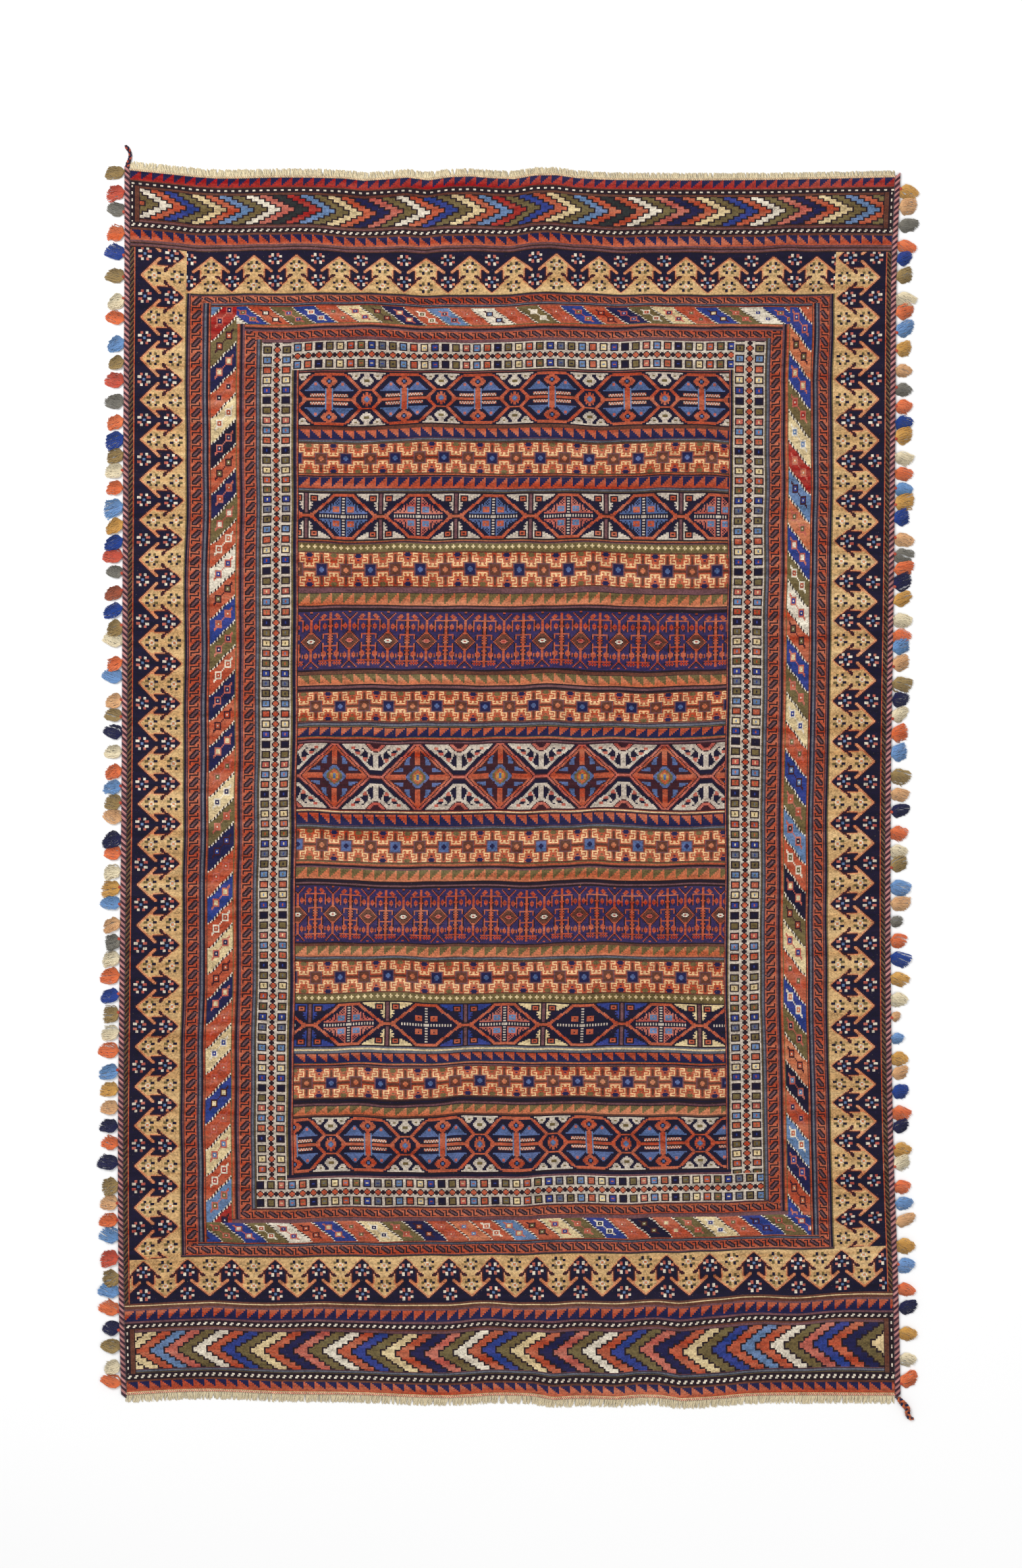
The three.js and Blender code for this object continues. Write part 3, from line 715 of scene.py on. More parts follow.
FIELD_ROWS = [
    ("octagons", 105.7, 146.3, 58.4), ("bbbbbbbb", 6.7), ("teeth orange navy", 19.4, -21.6, 0),
    ("mngggnok", 6.9), ("lattice", 62.8, 48.0, 43.6), ("orrbknmm", 6.7),
    ("teeth navy orange", 21.4, 21.6, 0), ("mngggnok", 8.3), ("hexagons light", 94.1, 147.6, 88.5),
    ("orrbknmm", 6.6), ("crosses", 16.4, 13.0, 0), ("lattice", 71.0, 48.6, 94.6), ("mmmmmmmk", 11.4),
    ("teeth olive rose", 23.3, 22.0, 0), ("kkmmmkkk", 9.8), ("trees", 117.1, 76.0, 63.4),
    ("kbbbbbbk", 8.4), ("teeth olive rose", 19.8, -22.0, 0), ("kkmmmkkk", 11.7),
    ("lattice", 61.1, 48.0, 35.0), ("mngggnok", 11.7),
    ("teeth orange navy", 18.1, 21.6, 0), ("orrbknmm", 11.3), ("diamonds", 132.1, 163.0, 74.3),
    ("breebmkk", 8.2), ("teeth orange navy", 21.6, -21.6, 0), ("mngggnok", 8.2),
    ("lattice blue", 64.5, 48.0, 50.0), ("orrbknmm", 13.2), ("teeth olive rose", 21.5, 22.0, 0),
    ("kknkkmmk", 11.5), ("trees paler", 113.2, 69.4, 38.9), ("bbbbbbbb", 4.9),
    ("teeth olive rose", 19.8, 22.0, 0), ("mngggnok", 8.3), ("lattice", 66.0, 48.0, 40.0),
    ("crosses", 16.6, 13.0, 0), ("hexagons dark", 87.5, 153.2, 105.5), ("ggeegggk", 13.2),
    ("teeth orange navy", 18.1, -21.6, 0), ("orrbknmm", 8.3), ("lattice", 62.8, 48.4, 24.8),
    ("kknkkmmk", 15.7), ("teeth olive rose", 16.6, 22.0, 0), ("bbbbbbbb", 3.2),
    ("octagons", 112.3, 144.4, 145.0),
]
BOTTOM_BORDER_ROWS = [
    ("mmmnnnnk", 10.0), ("squares", 56.1, 20.8, 10), ("orrbknmm", 5.1), ("hooks", 16.4, 27.0, 0),
    ("mmmmmmmk", 8.3), ("diagonal bottom", 39.6, 44.0, 0), ("mnggnkrb", 8.3), ("hooks", 17.5, 27.0, 0),
    ("oonnnmmk", 4.9), ("leaves", 86.4, 85.0, 55.6),
]
BOTTOM_END_ROWS = [
    ("bbebbbmm", 14.2), ("teeth orange navy", 20.2, 21.6, 0), ("mmmmmmmk", 4.4), ("scrolls", 10.4, 12.6, 0),
    ("bbbmmmmk", 7.8), ("chevrons bottom", 73.3, 28.1, 32.8), ("mngggnok", 8.3), ("scrolls", 12.9, 12.6, 0),
    ("bbbbbbbb", 3.5), ("teeth navy orange", 16.4, -21.6, 0), ("rrreeerr", 7.8),
]
# the columns down each side, from the outer edge in
LEFT_COLUMNS = [
    ("twill", 7.9, 10.5, 0), ("rrrrrrkk", 3.0), ("leaves", 99.1, 79.4, 50.9), ("oonnnmmk", 10.0),
    ("hooks", 23.5, 27.0, 0), ("mnggnkrb", 17.5), ("diagonal left", 49.5, 49.7, 0), ("orrbknmm", 16.5),
    ("hooks", 22.5, 27.0, 0), ("mngggnok", 11.0), ("squares", 59.5, 19.9, 10), ("oonnnmrk", 14.5),
]
RIGHT_COLUMNS = [
    ("twill", 7.8, 10.5, 0), ("rrrrrrkk", 2.8), ("leaves", 99.7, 79.4, 50.9), ("oonnnmmk", 10.1),
    ("hooks", 18.2, 27.0, 0), ("mnggnkrb", 16.2), ("diagonal right", 43.1, 55.7, 0), ("orrbknmm", 14.7),
    ("hooks", 21.8, -27.0, 0), ("mngggnok", 10.4), ("squares", 62.2, 19.9, 10), ("oonnnmrk", 9.0),
]
ROWS = TOP_END_ROWS + TOP_BORDER_ROWS + FIELD_ROWS + BOTTOM_BORDER_ROWS + BOTTOM_END_ROWS
STRIPES = sorted({band[0] for band in ROWS + LEFT_COLUMNS + RIGHT_COLUMNS if len(band) == 2})
print("rows:", len(ROWS), "height in all, mm:", round(sum(band[1] for band in ROWS), 1))
print("kinds of thin stripes:", len(STRIPES), "wools in them:", sorted(set("".join(STRIPES))))

# %% Chevrons, worked out by a rule
SIDE_LINE = 0.12  # width of the dark line between two colours, in repeats
STEP_LINE = 0.4  # height of the dark line between two steps, in steps
# the wools one after another, the number of steps, and how far each is shifted, in repeats
CHEVRONS = {
    "top": ("owrBoerlowshRloerNsowrBoerlRoBreolrhrwosNreoBrwosNreolr", 5, -0.4),
    "bottom": ("erlsowrBoerNsowrBoerNsowrBoerNsowrBosNreoBrlrwosBrNoe", 5, 0.385),
}


def chevron_material(end):
    """Steps that shift sideways towards the middle of the band, with a dark line round each colour."""
    wools, steps, shift = CHEVRONS[end]

    def colour_of(tree, along, across):
        depth = (1 - abs(across * 2 - 1)) * steps
        step = depth.floor().at_most(steps - 1).at_least(0)
        here = along + step * shift + 10 * len(wools)
        side_line = here.fraction().below(SIDE_LINE)
        before = (here - shift).floor()
        step_line = (1 - before.equals(here.floor())) * (depth - step).below(STEP_LINE)
        colour = run_of_wools(tree, wools, here.floor())
        return pick(tree, (side_line + step_line).at_most(1), colour, linear("k"))

    return cloth_material(f"chevrons {end}", colour_of)


# %% A material for every pattern
STRIPE_CHART = chart_group("chart stripes", STRIPES, turned=True)
SQUARE_RUN = "lrnoeroBgolreBnos"
ROSETTE_RUN = "swsas"


def diagonal_material(side, wools):
    """3 is the outline of the rosettes in a stripe, and 4 their filling."""
    runs = {"1": (wools, 0, False), "2": (wools, -1, False), "0": (wools, 1, False),
            "3": (ROSETTE_RUN, 0, False), "4": (wools, 2, False)}
    return charted(f"diagonal {side}", DIAGONAL, runs)


def teeth_material(upper, lower):
    names = {"N": "navy", "R": "red", "r": "orange", "o": "olive", "P": "rose"}
    runs = {"1": (upper, 0, False), "2": (lower, 0, False)}
    return charted(f"teeth {names[upper]} {names[lower]}", TEETH, runs)


def motifs_material(name, chart, *runs):
    """1 and 2 change wool from motif to motif, and 3 between two motifs."""
    runs = {digit: (run, 0, digit == "3") for digit, run in zip("123", runs)}
    return charted(name, chart, runs, folded=True)


# all the thin stripes are in one chart, where each kind is a repeat of its own
MATERIALS = [
    charted("stripes", STRIPE_CHART),
    charted("leaves", LEAVES),
    charted("hooks", HOOKS),
    charted("crosses", CROSSES),
    charted("scrolls", SCROLLS),
    charted("dashes", DASHES),
    charted("twill", TWILL),
    charted("squares", SQUARES, {"1": (SQUARE_RUN, 0, False), "2": (SQUARE_RUN, 5, False)}, folded=True),
    diagonal_material("left", "rlRoNrenrNorwrBorNrNreoNrBrerNrerBre"),
    diagonal_material("right", "NrBPBoeRlPBowrBoerBolrnoerBoPnrl"),
    diagonal_material("top", "woBreoNrBrorwrlrNoerBorB"),
    diagonal_material("bottom", "BowrBreoNrPrlreoBrnroerBo"),
    charted("octagons", OCTAGONS),
    motifs_material("hexagons light", HEXAGONS, "Ls", "rl", "W"),
    motifs_material("hexagons dark", HEXAGONS, "sn", "lr", "eB"),
    motifs_material("lattice", LATTICE, "bN", "PL", "No"),
    motifs_material("lattice blue", LATTICE, "bL", "PN", "No"),
    charted("trees", TREES, {"3": ("sw", 0, True)}, folded=True),
    charted("trees paler", TREES, {"3": ("wswswswswsww", 0, True)}, folded=True),
    charted("diamonds", DIAMONDS),
    teeth_material("N", "R"),
    teeth_material("N", "r"),
    teeth_material("r", "N"),
    teeth_material("o", "P"),
    chevron_material("top"),
    chevron_material("bottom"),
]
MATERIAL_NUMBER = {material.name: i for i, material in enumerate(MATERIALS)}
print("materials of the cloth:", len(MATERIALS))

# %% [markdown]
# ## The cloth
#
# The cloth is one closed sheet. Its upper side is a fine grid whose lines fall on every border between
# bands, so each face belongs to one band and takes that band's material. Two UV maps go with it: one in
# metres on the loom, for the stitches, and one that counts repeats along the band and goes from 0 to 1
# across it, for the charts. The underside has larger faces, because nothing on it is seen from near by,
# and the faces of the rim join the two, so that no edge stays open.

# %% Which chart lies where
def borders(bands, start):
    """The places of the borders between bands of these sizes."""
    places = [start]
    for band in bands:
        places.append(places[-1] + band[1])
    return places


def laid(band, corner, along, across):
    """The material of a band and the function that gives its chart's along and across on the loom."""
    what, width = band[:2]
    stripe = len(band) == 2
    repeat, first = (1, 0) if stripe else band[2:]

    def place(x, down):
        aside, below = x - corner[0], down - corner[1]
        through = (aside * across[0] + below * across[1]) / width
        if stripe:
            return (STRIPES.index(what) + 0.5) / len(STRIPES), through
        return (aside * along[0] + below * along[1] - first) / repeat, through

    return MATERIAL_NUMBER["stripes" if stripe else what], place


left_borders = borders(LEFT_COLUMNS, -HALF_WIDTH)
right_borders = [-x for x in reversed(borders(RIGHT_COLUMNS, -HALF_WIDTH))]
row_borders = borders(ROWS, 0)
row_borders[-1] = RUG_LENGTH
TRIM_COLUMNS = 2  # the twill and its stripe, which lie outside the rings of the border
RINGS = len(TOP_BORDER_ROWS)
FIRST_RING_ROW = len(TOP_END_ROWS)
LAST_RING_ROW = len(ROWS) - len(BOTTOM_END_ROWS) - 1
RING_TOP = row_borders[FIRST_RING_ROW]
# the chevrons and the rows beside them, counted outwards, end in a trim of dashes and a stripe
TRIMMED_ROWS = (-7, -6, -5)
END_DASH, END_STRIPE = 7.9, 19.0


def band_at(x, down):
    """The material number and chart of the band at a place on the loom."""
    x = max(-HALF_WIDTH + 0.01, min(HALF_WIDTH - 0.01, x))
    row = min(len(ROWS), sum(border <= down for border in row_borders)) - 1
    top, bottom = row_borders[row], row_borders[row + 1]
    from_side = min(x + HALF_WIDTH, HALF_WIDTH - x)
    ring = min(row - FIRST_RING_ROW, LAST_RING_ROW - row)
    if ring < 0:
        if from_side < END_STRIPE and ring in TRIMMED_ROWS:
            inward = 1 if x < 0 else -1
            if from_side < END_DASH:
                return laid(("dashes", END_DASH, 13.9, 0), (-HALF_WIDTH * inward, 0), (0, 1), (inward, 0))
            start = (-HALF_WIDTH + END_DASH) * inward
            return laid(("kbbbbbbk", END_STRIPE - END_DASH), (start, 0), (0, 1), (inward, 0))
        return laid(ROWS[row], (-HALF_WIDTH, top), (1, 0), (0, 1))
    column = sum(border <= x for border in left_borders) - 1
    side = "left"
    if column >= len(LEFT_COLUMNS):
        column = len(RIGHT_COLUMNS) - sum(border <= x for border in right_borders)
        side = "right"
    if left_borders[-1] <= x < right_borders[0]:
        column = RINGS + TRIM_COLUMNS
    # at the top the columns run through the corners, and at the bottom the rows do
    below_field = row > LAST_RING_ROW - RINGS
    if column - TRIM_COLUMNS + below_field <= ring and column < RINGS + TRIM_COLUMNS:
        if side == "left":
            return laid(LEFT_COLUMNS[column], (left_borders[column], RING_TOP), (0, 1), (1, 0))
        outer = right_borders[len(RIGHT_COLUMNS) - column]
        return laid(RIGHT_COLUMNS[column], (outer, RING_TOP), (0, 1), (-1, 0))
    if ring < RINGS:
        start = left_borders[TRIM_COLUMNS + ring + 1]
        if below_field:
            return laid(ROWS[row], (start, bottom), (1, 0), (0, -1))
        return laid(ROWS[row], (start, top), (1, 0), (0, 1))
    return laid(ROWS[row], (left_borders[-1], top), (1, 0), (0, 1))


print("ring of side borders:", round(RING_TOP, 1), "to", round(row_borders[LAST_RING_ROW + 1], 1))


# %% A sheet that is built face by face
class Sheet:
    """Collects faces by their corners on the loom. A corner is its place across, its place down from
    the top end, and 1 on the upper side of the cloth or 0 below."""

    def __init__(self):
        self.points, self.numbers = [], {}
        self.faces, self.kinds = [], []
        self.loom, self.chart = [], []

    def point(self, x, down, level):
        key = (round(x, 3), round(down, 3), level)
        if key not in self.numbers:
            floor_x, floor_y, lift = on_floor(x, HALF_LENGTH - down)
            rough = ripple(x, down, UNEVEN_TOP) if level else 0
            self.numbers[key] = len(self.points)
            self.points.append((floor_x * MM, floor_y * MM, (lift + level * CLOTH_THICKNESS + rough) * MM))
        return self.numbers[key]

    def add_face(self, corners):
        middle = [sum(corner[i] for corner in corners) / len(corners) for i in (0, 1)]
        kind, place = band_at(*middle)
        self.kinds.append(kind)
        self.faces.append([self.point(*corner) for corner in corners])
        self.loom.extend((x * MM, -down * MM) for x, down, level in corners)
        self.chart.extend(place(x, down) for x, down, level in corners)

    def mesh(self, name):
        mesh = bpy.data.meshes.new(name)
        mesh.from_pydata(self.points, [], self.faces)
        mesh.update()
        for label, pairs in (("weave", self.loom), ("chart", self.chart)):
            layer = mesh.uv_layers.new(name=label)
            layer.uv.foreach_set("vector", [value for pair in pairs for value in pair])
        for material in MATERIALS:
            mesh.materials.append(material)
        mesh.polygons.foreach_set("material_index", self.kinds)
        return mesh


# %% The cloth as a mesh
FINE, COARSE = 8, 40  # the longest side of a face, on the upper side and below
TINY = 1e-6


def finer(places, most):
    """The same places with more between them, so that no two are further apart than most."""
    fine = [places[0]]
    for low, high in zip(places, places[1:]):
        parts = math.ceil((high - low) / most - TINY)
        fine += [low + (high - low) * i / parts for i in range(1, parts + 1)]
    return fine


def cloth_mesh():
    side = [-HALF_WIDTH, -HALF_WIDTH + END_DASH, -HALF_WIDTH + END_STRIPE]
    across = sorted({round(x, 4) for x in left_borders + right_borders + side + [-x for x in side]})
    coarse_x, coarse_down = finer(across, COARSE), finer(row_borders, COARSE)
    fine_x, fine_down = finer(coarse_x, FINE), finer(coarse_down, FINE)
    sheet = Sheet()
    for low, high in zip(fine_down, fine_down[1:]):
        for left, right in zip(fine_x, fine_x[1:]):
            sheet.add_face([(left, high, 1), (right, high, 1), (right, low, 1), (left, low, 1)])
    for low, high in zip(coarse_down, coarse_down[1:]):
        for left, right in zip(coarse_x, coarse_x[1:]):
            sheet.add_face([(left, low, 0), (right, low, 0), (right, high, 0), (left, high, 0)])
    for down, order in ((fine_down[0], 1), (fine_down[-1], -1)):
        for left, right in zip(coarse_x, coarse_x[1:]):
            run = [x for x in fine_x if left - TINY <= x <= right + TINY]
            rim = [(x, down, 1) for x in run] + [(right, down, 0), (left, down, 0)]
            sheet.add_face(rim[::order])
    for x, order in ((fine_x[0], -1), (fine_x[-1], 1)):
        for low, high in zip(coarse_down, coarse_down[1:]):
            run = [down for down in fine_down if low - TINY <= down <= high + TINY]
            rim = [(x, down, 1) for down in run] + [(x, high, 0), (x, low, 0)]
            sheet.add_face(rim[::order])
    return sheet.mesh("woven_sheet")


def place_piece(name, mesh):
    piece = bpy.data.objects.new(name, mesh)
    bpy.context.scene.collection.objects.link(piece)
    return piece


cloth = place_piece("woven_sheet", cloth_mesh())
print("faces of the cloth:", len(cloth.data.polygons))

# %% Is the cloth closed, and does it face outwards?
check = bmesh.new()
check.from_mesh(cloth.data)
print("open edges:", sum(not edge.is_manifold for edge in check.edges), "volume, litres:",
      round(check.calc_volume(signed=True) * 1000, 2))
check.free()

# %% [markdown]
# ## Yarn
#
# Everything round the cloth is yarn: the wraps of the cords, the tassels, the cut warps and the plaits.
# All of it shares one material. It takes the dye from an attribute named wool, which says for each
# strand which of the dye pots below it comes from, and a second attribute named tone makes some strands
# lighter than others. In a lock, tone follows how high a strand lies, so its low strands get painted shade.

# %% Dye pots of the yarns
YARNS = {
    "olive gold": (158, 132, 84), "brick": (204, 84, 62), "grey": (122, 118, 108), "orange": (226, 118, 70),
    "royal blue": (34, 66, 146), "cream": (228, 214, 182), "light blue": (112, 152, 200),
    "ochre": (208, 158, 82), "navy": (26, 28, 72), "peach": (220, 172, 124), "rust": (164, 88, 62),
    "mauve": (196, 134, 130), "aubergine": (66, 32, 50), "warp": (232, 217, 182), "sand": (206, 160, 118),
}
YARN_NAMES = list(YARNS)


def yarn_number(name):
    return float(YARN_NAMES.index(name))


def yarn_material():
    material, tree = new_material("spun yarn")
    wool = Flow(tree, add_node(tree, "ShaderNodeAttribute", attribute_name="wool").outputs["Fac"])
    tone = Flow(tree, add_node(tree, "ShaderNodeAttribute", attribute_name="tone").outputs["Fac"])
    place = add_node(tree, "ShaderNodeTexCoord").outputs["Object"]
    height = grain(tree, place, Scale=900.0)
    dyed = ramp_of(tree, [to_linear(YARNS[name]) for name in YARN_NAMES], wool.nearest())
    # the crease setting is painted shade where the fibre pattern is low
    settings = {"Color": dyed, "Weave": place, "Height": height, "Shade": tone, "Streaks": 0.3,
                "Heather": 0.5, "Crease": 0.35, "Wear": 0.1}
    spun = add_node(tree, "ShaderNodeGroup", settings, node_tree=HANDSPUN)
    wool_shader(tree, spun, height, depth=0.4 * MM, strength=0.6, sheen=0.2)
    return material


YARN = yarn_material()
print("yarns:", ", ".join(YARN_NAMES))

# %% [markdown]
# ## Node trees that lay yarn
#
# There are thousands of strands, so none is modelled by hand. Each tree starts from a few points or
# lines, puts a short curve at each of them, bends it with a formula and gives it thickness. The first
# tree makes locks, which are strands that spread from a root: a tassel is one, and so is a tuft of cut
# warps. The second lays slanted wraps along a line, and the third makes plain tubes for plaits.


# %% Small helpers for the trees
def stored(tree, geometry, name, value, kind="FLOAT"):
    """The geometry with a named attribute on its points."""
    values = {"Geometry": geometry, "Name": name, "Value": value}
    node = add_node(tree, "GeometryNodeStoreNamedAttribute", values, data_type=kind, domain="POINT")
    return node.outputs["Geometry"]


def named(tree, name, kind="FLOAT"):
    node = add_node(tree, "GeometryNodeInputNamedAttribute", {"Name": name}, data_type=kind)
    return Flow(tree, node.outputs["Attribute"])


def any_number(tree, low, high, seed):
    """A number that is different for each point, and the same on every run."""
    node = add_node(tree, "FunctionNodeRandomValue", {2: low, 3: high, "Seed": seed})
    return Flow(tree, node.outputs[1])


def curve_at_points(tree, points, steps):
    """A short straight curve at each point, to be bent by what follows."""
    line = add_node(tree, "GeometryNodeCurvePrimitiveLine", {"End": (0.001, 0, 0)})
    line = add_node(tree, "GeometryNodeResampleCurve", {"Curve": line.outputs[0], "Count": steps})
    placed = {"Points": points, "Instance": line.outputs[0]}
    copies = add_node(tree, "GeometryNodeInstanceOnPoints", placed)
    return add_node(tree, "GeometryNodeRealizeInstances", {"Geometry": copies.outputs[0]}).outputs[0]


def share_along(tree):
    """0 at the start of each curve and 1 at its end."""
    return Flow(tree, add_node(tree, "GeometryNodeSplineParameter").outputs["Factor"])


def moved(tree, geometry, **where):
    """The geometry at another Position, or moved by an Offset."""
    return add_node(tree, "GeometryNodeSetPosition", {"Geometry": geometry, **where}).outputs[0]


def thick_yarn(tree, curves, sides, radius, scale):
    ring = add_node(tree, "GeometryNodeCurvePrimitiveCircle", {"Resolution": sides, "Radius": radius})
    values = {"Curve": curves, "Profile Curve": ring.outputs[0], "Scale": scale, "Fill Caps": True}
    return add_node(tree, "GeometryNodeCurveToMesh", values).outputs[0]


def finish_tree(tree, leave, material, *parts):
    """Joins the parts, makes plain geometry of them and gives them their material."""
    both = add_node(tree, "GeometryNodeJoinGeometry")
    for part in parts:
        tree.links.new(part, both.inputs[0])
    whole = add_node(tree, "GeometryNodeRealizeInstances", {"Geometry": both.outputs[0]})
    dressed = {"Geometry": whole.outputs[0], "Material": material}
    feed(leave.inputs["Geometry"], add_node(tree, "GeometryNodeSetMaterial", dressed).outputs[0])


# %% Running a tree on a base mesh
def grown(name, base, tree, **values):
    """Runs a tree on a base mesh and gives back the piece of plain mesh that it makes."""
    holder = place_piece(f"{name}_base", base)
    modifier = holder.modifiers.new("yarn", "NODES")
    modifier.node_group = tree
    for item in tree.interface.items_tree:
        label = item.name.lower().replace(" ", "_")
        if item.in_out == "INPUT" and label in values:
            modifier[item.identifier] = values[label]
        if item.name == "Material":
            modifier[item.identifier] = YARN
    mesh = bpy.data.meshes.new_from_object(holder.evaluated_get(bpy.context.evaluated_depsgraph_get()))
    mesh.name = name
    bpy.data.objects.remove(holder)
    return place_piece(name, mesh)


def seeds(name, rows, lines=(), **attributes):
    """A base mesh of points, joined into lines where given, with a value for each point."""
    mesh = bpy.data.meshes.new(name)
    mesh.from_pydata(rows, lines, [])
    for label, values in attributes.items():
        vector = hasattr(values[0], "__len__")
        layer = mesh.attributes.new(label, "FLOAT_VECTOR" if vector else "FLOAT", "POINT")
        flat = [number for value in values for number in value] if vector else values
        layer.data.foreach_set("vector" if vector else "value", flat)
    return mesh


# %% The tree for locks of yarn
# One draw for each strand says how far aside it lies, from -1 to 1, how high over the floor, its tone,
# and how long it is. So a lock is lower and shorter at one side, as if combed over, and its lower strands
# there are painted darker, a painted shade on that side.
STRAND_DRAWS = (("aside", -1.0, 1.0), ("over", 0.0, 1.0), ("tone", 0.0, 1.0), ("long", 0.8, 1.06))
DRAW = 4
ROUND_TIP = 0.16  # how much shorter the outermost strands are, as a share of the reach
SLIM_ROOT = 0.28  # width at the root, as a share of the full width


def locks_tree():
    """Roots carry: out, the way that the lock points; reach, wide and tall, its size; tight, how far its
    ends draw together; wool; and tie, the wool of its knot. A lock without a knot has Knot 0."""
    tree, wires, leave = new_group(
        "locks of yarn", "GeometryNodeTree",
        {"Roots": "NodeSocketGeometry", "Strands": "NodeSocketInt", "Yarn radius": "NodeSocketFloat",
         "Steps": "NodeSocketInt", "Sides": "NodeSocketInt", "Curl": "NodeSocketFloat",
         "Waves": "NodeSocketFloat", "Knot": "NodeSocketFloat", "Seed": "NodeSocketInt",
         "Material": "NodeSocketMaterial"},
        {"Geometry": "NodeSocketGeometry"},
    )
    points = add_node(tree, "GeometryNodeMeshToPoints", {"Mesh": wires["Roots"]}).outputs[0]
    many = {"Geometry": points, "Amount": wires["Strands"]}
    points = add_node(tree, "GeometryNodeDuplicateElements", many, domain="POINT").outputs[0]
    here = add_node(tree, "GeometryNodeInputPosition").outputs[0]
    points = stored(tree, points, "root", here, "FLOAT_VECTOR")
    # tone comes from the same draw as over, so the lower strands are painted darker, as painted shade
    for label, low, high in STRAND_DRAWS:
        points = stored(tree, points, label, any_number(tree, low, high, wires["Seed"] + DRAW))
    curves = curve_at_points(tree, points, wires["Steps"])

    share = share_along(tree)
    aside, over, tight = named(tree, "aside"), named(tree, "over"), named(tree, "tight")
    # each strand runs through its own part of a noise, which curls it more towards its end
    bend = join(tree, named(tree, "tone") * 90, share * wires["Waves"], aside * 40)
    noise_node = add_node(tree, "ShaderNodeTexNoise", {"Vector": bend, "Scale": 1.0, "Detail": 1.0})
    curls = split(tree, noise_node.outputs["Color"], 3)
    curl_along, curl_aside, curl_up = [(c - 0.5) * wires["Curl"] * share.at_most(0.5) for c in curls]
    # a lock opens over the first part of its length, and is drawn together from 0.4 of it on
    opening = (share * 4.5).at_most(1) ** 0.7 * (1 - SLIM_ROOT) + SLIM_ROOT
    closing = 1 - tight * ((share - 0.4).at_least(0) * 1.67) ** 2
    spread = named(tree, "wide") * 0.5 * opening * closing
    along = named(tree, "reach") * (named(tree, "long") - aside * aside * ROUND_TIP) * share + curl_along
    aside_place = aside * spread + curl_aside
    # the strands arch from root to tip, those in the middle of a lock highest, and none sinks in the floor
    arch = share * (1 - share) * 2.7 + 0.33
    rise = arch * named(tree, "tall") * over * (1 - aside * aside) ** 0.5
    root_x, root_y, root_z = split(tree, named(tree, "root", "FLOAT_VECTOR"), 3)
    out_x, out_y = split(tree, named(tree, "out", "FLOAT_VECTOR"))
    fall = root_z * (1 - share) ** 2
    place = join(
        tree, root_x + out_x * along - out_y * aside_place, root_y + out_y * along + out_x * aside_place,
        (fall + rise + curl_up + wires["Yarn radius"]).at_least(wires["Yarn radius"] * 1.3),
    )
    curves = moved(tree, curves, Position=place)
    yarn = thick_yarn(tree, curves, wires["Sides"], wires["Yarn radius"], 1 - share**3 * 0.3)

    # a round knot at each root, in the wool that the lock is tied with
    at_roots = add_node(tree, "GeometryNodeMeshToPoints", {"Mesh": wires["Roots"]}).outputs[0]
    at_roots = stored(tree, at_roots, "tone", any_number(tree, 0.0, 0.3, 3))
    at_roots = stored(tree, at_roots, "wool", named(tree, "tie"))
    at_roots = moved(tree, at_roots, Offset=join(tree, 0.0, 0.0, wires["Knot"] * 0.35))
    ball = {"Segments": 8, "Rings": 6, "Radius": wires["Knot"]}
    ball = add_node(tree, "GeometryNodeMeshUVSphere", ball).outputs[0]
    with_knots = {"Points": at_roots, "Instance": ball, "Selection": wires["Knot"]}
    knots = add_node(tree, "GeometryNodeInstanceOnPoints", with_knots).outputs[0]
    finish_tree(tree, leave, wires["Material"], yarn, knots)
    return tree


LOCKS = locks_tree()


